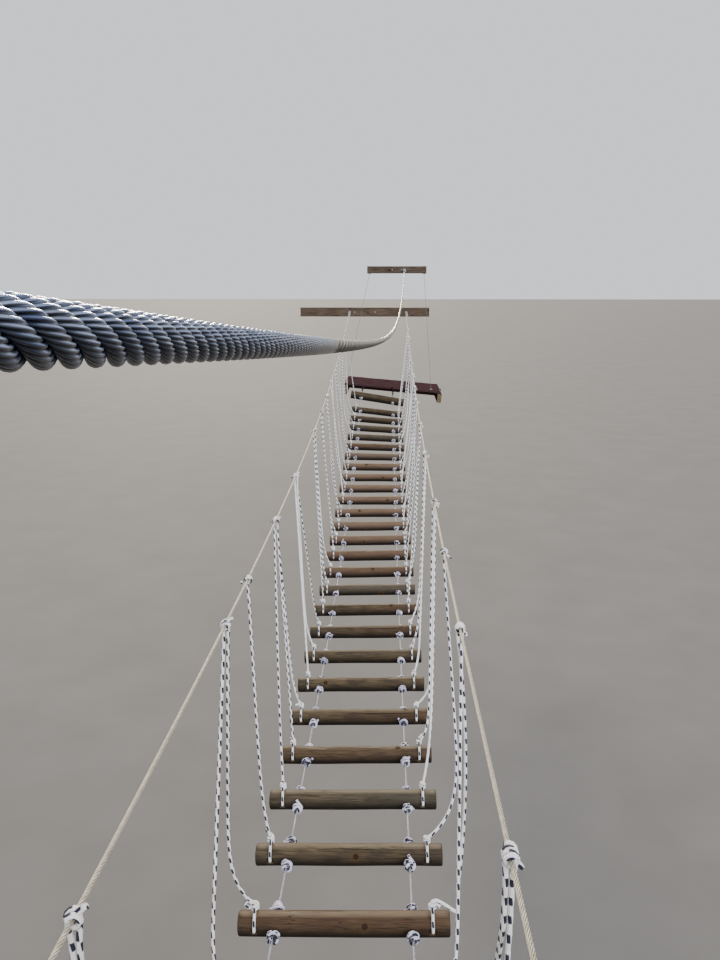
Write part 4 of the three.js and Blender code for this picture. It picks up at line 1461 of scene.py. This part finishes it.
def laid(end, skins):
    """The same for whole skins."""
    for made in skins:
        made["points"] = on_landing(end, made["points"])
    return skins


print("far landing's right end:", on_landing(ENDS["far"], [(LANDING_HALF, 0, 0)]).round(3))

# %% [markdown]
# A frame is a timber against the support and one under each end of the boards. The boards are rougher
# and end unevenly, and two nails hold each of them to each joist. The beams take their boxes from the
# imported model, and two bolts each.

# %% Landing frames, boards and beams
for name, end in ENDS.items():
    random = np.random.default_rng(200 + end["inward"])
    back = sorted([end["wall"], end["wall"] + end["inward"] * FRAME_DEPTH])
    front = end["wall"] + end["inward"] * LANDING_DEPTH
    joist_y = (back[1], front) if end["inward"] > 0 else (front, back[0])
    skins = [timber((-LANDING_HALF, back[0], -FRAME_HALF), (LANDING_HALF, back[1], FRAME_HALF), 0, random)]
    joist_x = [-LANDING_HALF, LANDING_HALF - JOIST_WIDTH]
    for x in joist_x:
        low = (x, joist_y[0], -FRAME_HALF)
        skins.append(timber(low, (x + JOIST_WIDTH, joist_y[1], FRAME_HALF), 1, random))
    finishes = [board_finish, end_finish]
    node = f"{name}_landing_frame"
    make_piece(f"{name}_landing_timbers", laid(end, skins), finishes, [node], 35)
    width = (LANDING_DEPTH + BOARD_GAP) / BOARDS
    skins = []
    nails = []
    for board in range(BOARDS):
        y = min(end["wall"], front) + board * width
        low = (-LANDING_HALF, y, BOARDS_LOW)
        high = (LANDING_HALF, y + width - BOARD_GAP, BOARDS_HIGH)
        skins.append(timber(low, high, 0, random, rough=0.006, ragged=0.03))
        for x in joist_x:
            for share in NAIL_PLACES:
                nail_x = x + JOIST_WIDTH * random.uniform(0.35, 0.65)
                at = np.array([nail_x, y + share * width, BOARDS_HIGH - 0.002])
                nails.append(turned(at, UP, NAIL, 10, ACROSS))
    node = f"{name}_landing_boards"
    make_piece(f"{name}_landing_planks", laid(end, skins), finishes, [node], 35)
    make_piece(f"{name}_landing_nails", laid(end, nails), [zinc_finish], sharp=40)
    bolts = []
    for beam in ("handrail", "safety"):
        node = f"{name}_{beam}_beam"
        low, high = (np.array(corner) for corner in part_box(node))
        made = timber(low, high, 0, random)
        make_piece(f"{name}_{beam}_crossbeam", [made], [beam_finish, end_finish], [node], 35)
        face = end["wall"] + end["inward"] * (FRAME_DEPTH - 0.001)
        for share in BOLT_PLACES:
            at = np.array([low[0] + share * (high[0] - low[0]), face, (low[2] + high[2]) / 2])
            bolts.append(turned(at, end["inward"] * ALONG, BOLT_HEAD, 6, UP))
    make_piece(f"{name}_beam_bolts", bolts, [zinc_finish], sharp=30)
print("landings and beams:", totals)

# %% [markdown]
# ## Eye bolts
# Each cable is hooked to an eye bolt: a ring on a shank, with a washer and a nut against the beam. A
# ring is a closed tube, and the rest are turned parts: a few rows of distance and radius, spun.

# %% Eye bolts
WASHER = [(0.0003, 0.0235), (0.001, 0.024), (0.0055, 0.024), (0.0063, 0.0232)]
NUT = [(0.0064, 0.0095), (0.0072, 0.0105), (0.0146, 0.0105), (0.0154, 0.0095)]
SHANK = [(0.0003, 0.0055), (EYE_STANDOFF - RING_RADIUS, 0.0055)]


def eye_bolt(end, x, z):
    """A round ring in the plane of the cable's pull, a shank, a nut and a washer."""
    inward = end["inward"]
    face = np.array([x, end["wall"] + inward * FRAME_DEPTH, z])
    heading = inward * ALONG
    turn = np.linspace(0, 2 * np.pi, 32, endpoint=False)[:, None]
    middle = face + EYE_STANDOFF * heading
    ring = middle + RING_RADIUS * (np.cos(turn) * ALONG + np.sin(turn) * UP)
    skins = [tube(ring, RING_WIRE, 10, ACROSS, closed=True)]
    skins.append(turned(face, heading, SHANK, 14, UP))
    skins.append(turned(face, heading, WASHER, 28, UP))
    skins.append(turned(face, heading, NUT, 6, UP))
    return skins


for name, end in ENDS.items():
    places = {"safety": (end["safety_x"], end["safety_z"])}
    for side_name, side in SIDES.items():
        x = side * DECK_ROPE_X
        places[f"deck_{side_name}"] = (x, landing_frame_z(end, x))
        places[f"handrail_{side_name}"] = (side * end["rail_x"] + RAIL_SHIFT, end["rail_z"])
    for bolt, (x, z) in places.items():
        node = f"{name}_eye_bolt_{bolt}"
        make_piece(f"{name}_{bolt}_eye_bolt", eye_bolt(end, x, z), [zinc_finish], [node], 35)
print("eye bolts:", totals)

# %% [markdown]
# ## Stays
# A thin wire stay runs from each end of the safety beam down to the corner of the landing. It ends
# in a round plate with a screw, above and below.

# %% Stays
STAY_RADIUS = 0.003
STAY_TURNS = 22.0
STAY_FOOT_Z = 0.1206
PLATE_HALF = 0.003
SCREW_AWAY = 0.012
SAFETY_BEAM_HALF = 0.06
PLATE = [(0.0, 0.0235), (0.0007, 0.024), (0.0053, 0.024), (0.006, 0.0232)]
SCREW = [(0.0055, 0.0075), (0.0085, 0.0075), (0.0098, 0.0055)]
for name, end in ENDS.items():
    for i, side_name in enumerate(SIDES):
        top = np.array([end["stay_top"][i], end["wall"] + end["inward"] * FRAME_DEPTH / 2, 0.0])
        top[2] = end["safety_z"] - SAFETY_BEAM_HALF - TOUCH_GAP
        foot_y = end["wall"] + end["inward"] * (LANDING_DEPTH - JOIST_WIDTH)
        foot_x = end["stay_foot"][i] - end["landing"][0]
        foot, above = on_landing(end, [(foot_x, foot_y, STAY_FOOT_Z), (foot_x, foot_y, STAY_FOOT_Z + 1)])
        share = np.linspace(0, 1, 130)[:, None]
        wire = foot + PLATE_HALF * UP + (top - foot - 2 * PLATE_HALF * UP) * share
        rope = tube(wire, STAY_RADIUS, 6, ALONG, turns=STAY_TURNS)
        plates = []
        for at, way in ((foot, above - foot), (top, -UP)):
            plates.append(turned(at, way, PLATE, 20, ACROSS))
            plates.append(turned(at + SCREW_AWAY * ACROSS, way, SCREW, 8, ACROSS))
        node = f"{name}_stay_{side_name}"
        make_piece(f"{name}_stay_wire_{side_name}", [rope], [stay_rope], [node])
        make_piece(f"{name}_stay_plates_{side_name}", plates, [zinc_finish], [node], 35)
print("stays:", totals)

# %% [markdown]
# ## Floor
# The bridge hangs in the open, so the floor lies well below it and is only a pale, wide sheet with a faint
# mottle.

# %% Floor
FLOOR_Z = -2.2
FLOOR_REACH = 140.0
floor_mesh = bpy.data.meshes.new("studio_floor")
corner = np.array([(-1, -1), (1, -1), (1, 1), (-1, 1)]) * FLOOR_REACH
floor_points = np.column_stack([corner, np.full(4, FLOOR_Z)])
floor_mesh.from_pydata(floor_points.tolist(), [], [(0, 1, 2, 3)])
floor = bpy.data.objects.new("studio_floor", floor_mesh)
bpy.context.scene.collection.objects.link(floor)


def painted_floor():
    """Matt grey paint with a faint 0.6 m mottle."""
    material, tree = new_finish("matt_floor_paint")
    mottle = noise(tree, put(tree, "TexCoord").outputs["Object"], (600, 600, 600), 3.0)
    body = coats(tree, "#726F6B", (mottle, 0.3, 0.7, 1.0, "#6C6965"))
    close_finish(material, body, 0.9, mottle, 0.5)
    return material


floor_mesh.materials.append(painted_floor())

# %% [markdown]
# ## Light
# Low soft sunlight comes from the far end, as in the photograph: it draws bright edges on the logs
# and ropes and leaves their near faces in shade. A weaker, wide light from behind the camera and an
# even sky fill those.

# %% Light
def add_sun(name, strength, softness, colour, height, heading):
    """A sun's own +Z points to it: height above the floor, heading from behind the camera to its right."""
    sun = bpy.data.lights.new(name, "SUN")
    sun.energy = strength
    sun.angle = math.radians(softness)
    sun.color = linear(colour)[:3]
    sun_object = bpy.data.objects.new(name, sun)
    sun_object.rotation_euler = (math.radians(90 - height), 0.0, math.radians(heading))
    bpy.context.scene.collection.objects.link(sun_object)


add_sun("low_sun", strength=4.1, softness=10.0, colour="#FFEFD8", height=16.0, heading=192.0)
add_sun("wide_fill", strength=2.7, softness=40.0, colour="#F4F6FF", height=28.0, heading=30.0)
SKY_STRENGTH = 1.34
world = bpy.data.worlds.new("studio_sky")
world.use_nodes = True
sky = world.node_tree.nodes["Background"]
sky.inputs["Color"].default_value = linear("#DCE0E6")
sky.inputs["Strength"].default_value = SKY_STRENGTH
bpy.context.scene.world = world
print(len(bpy.data.lights), "lights and the sky")
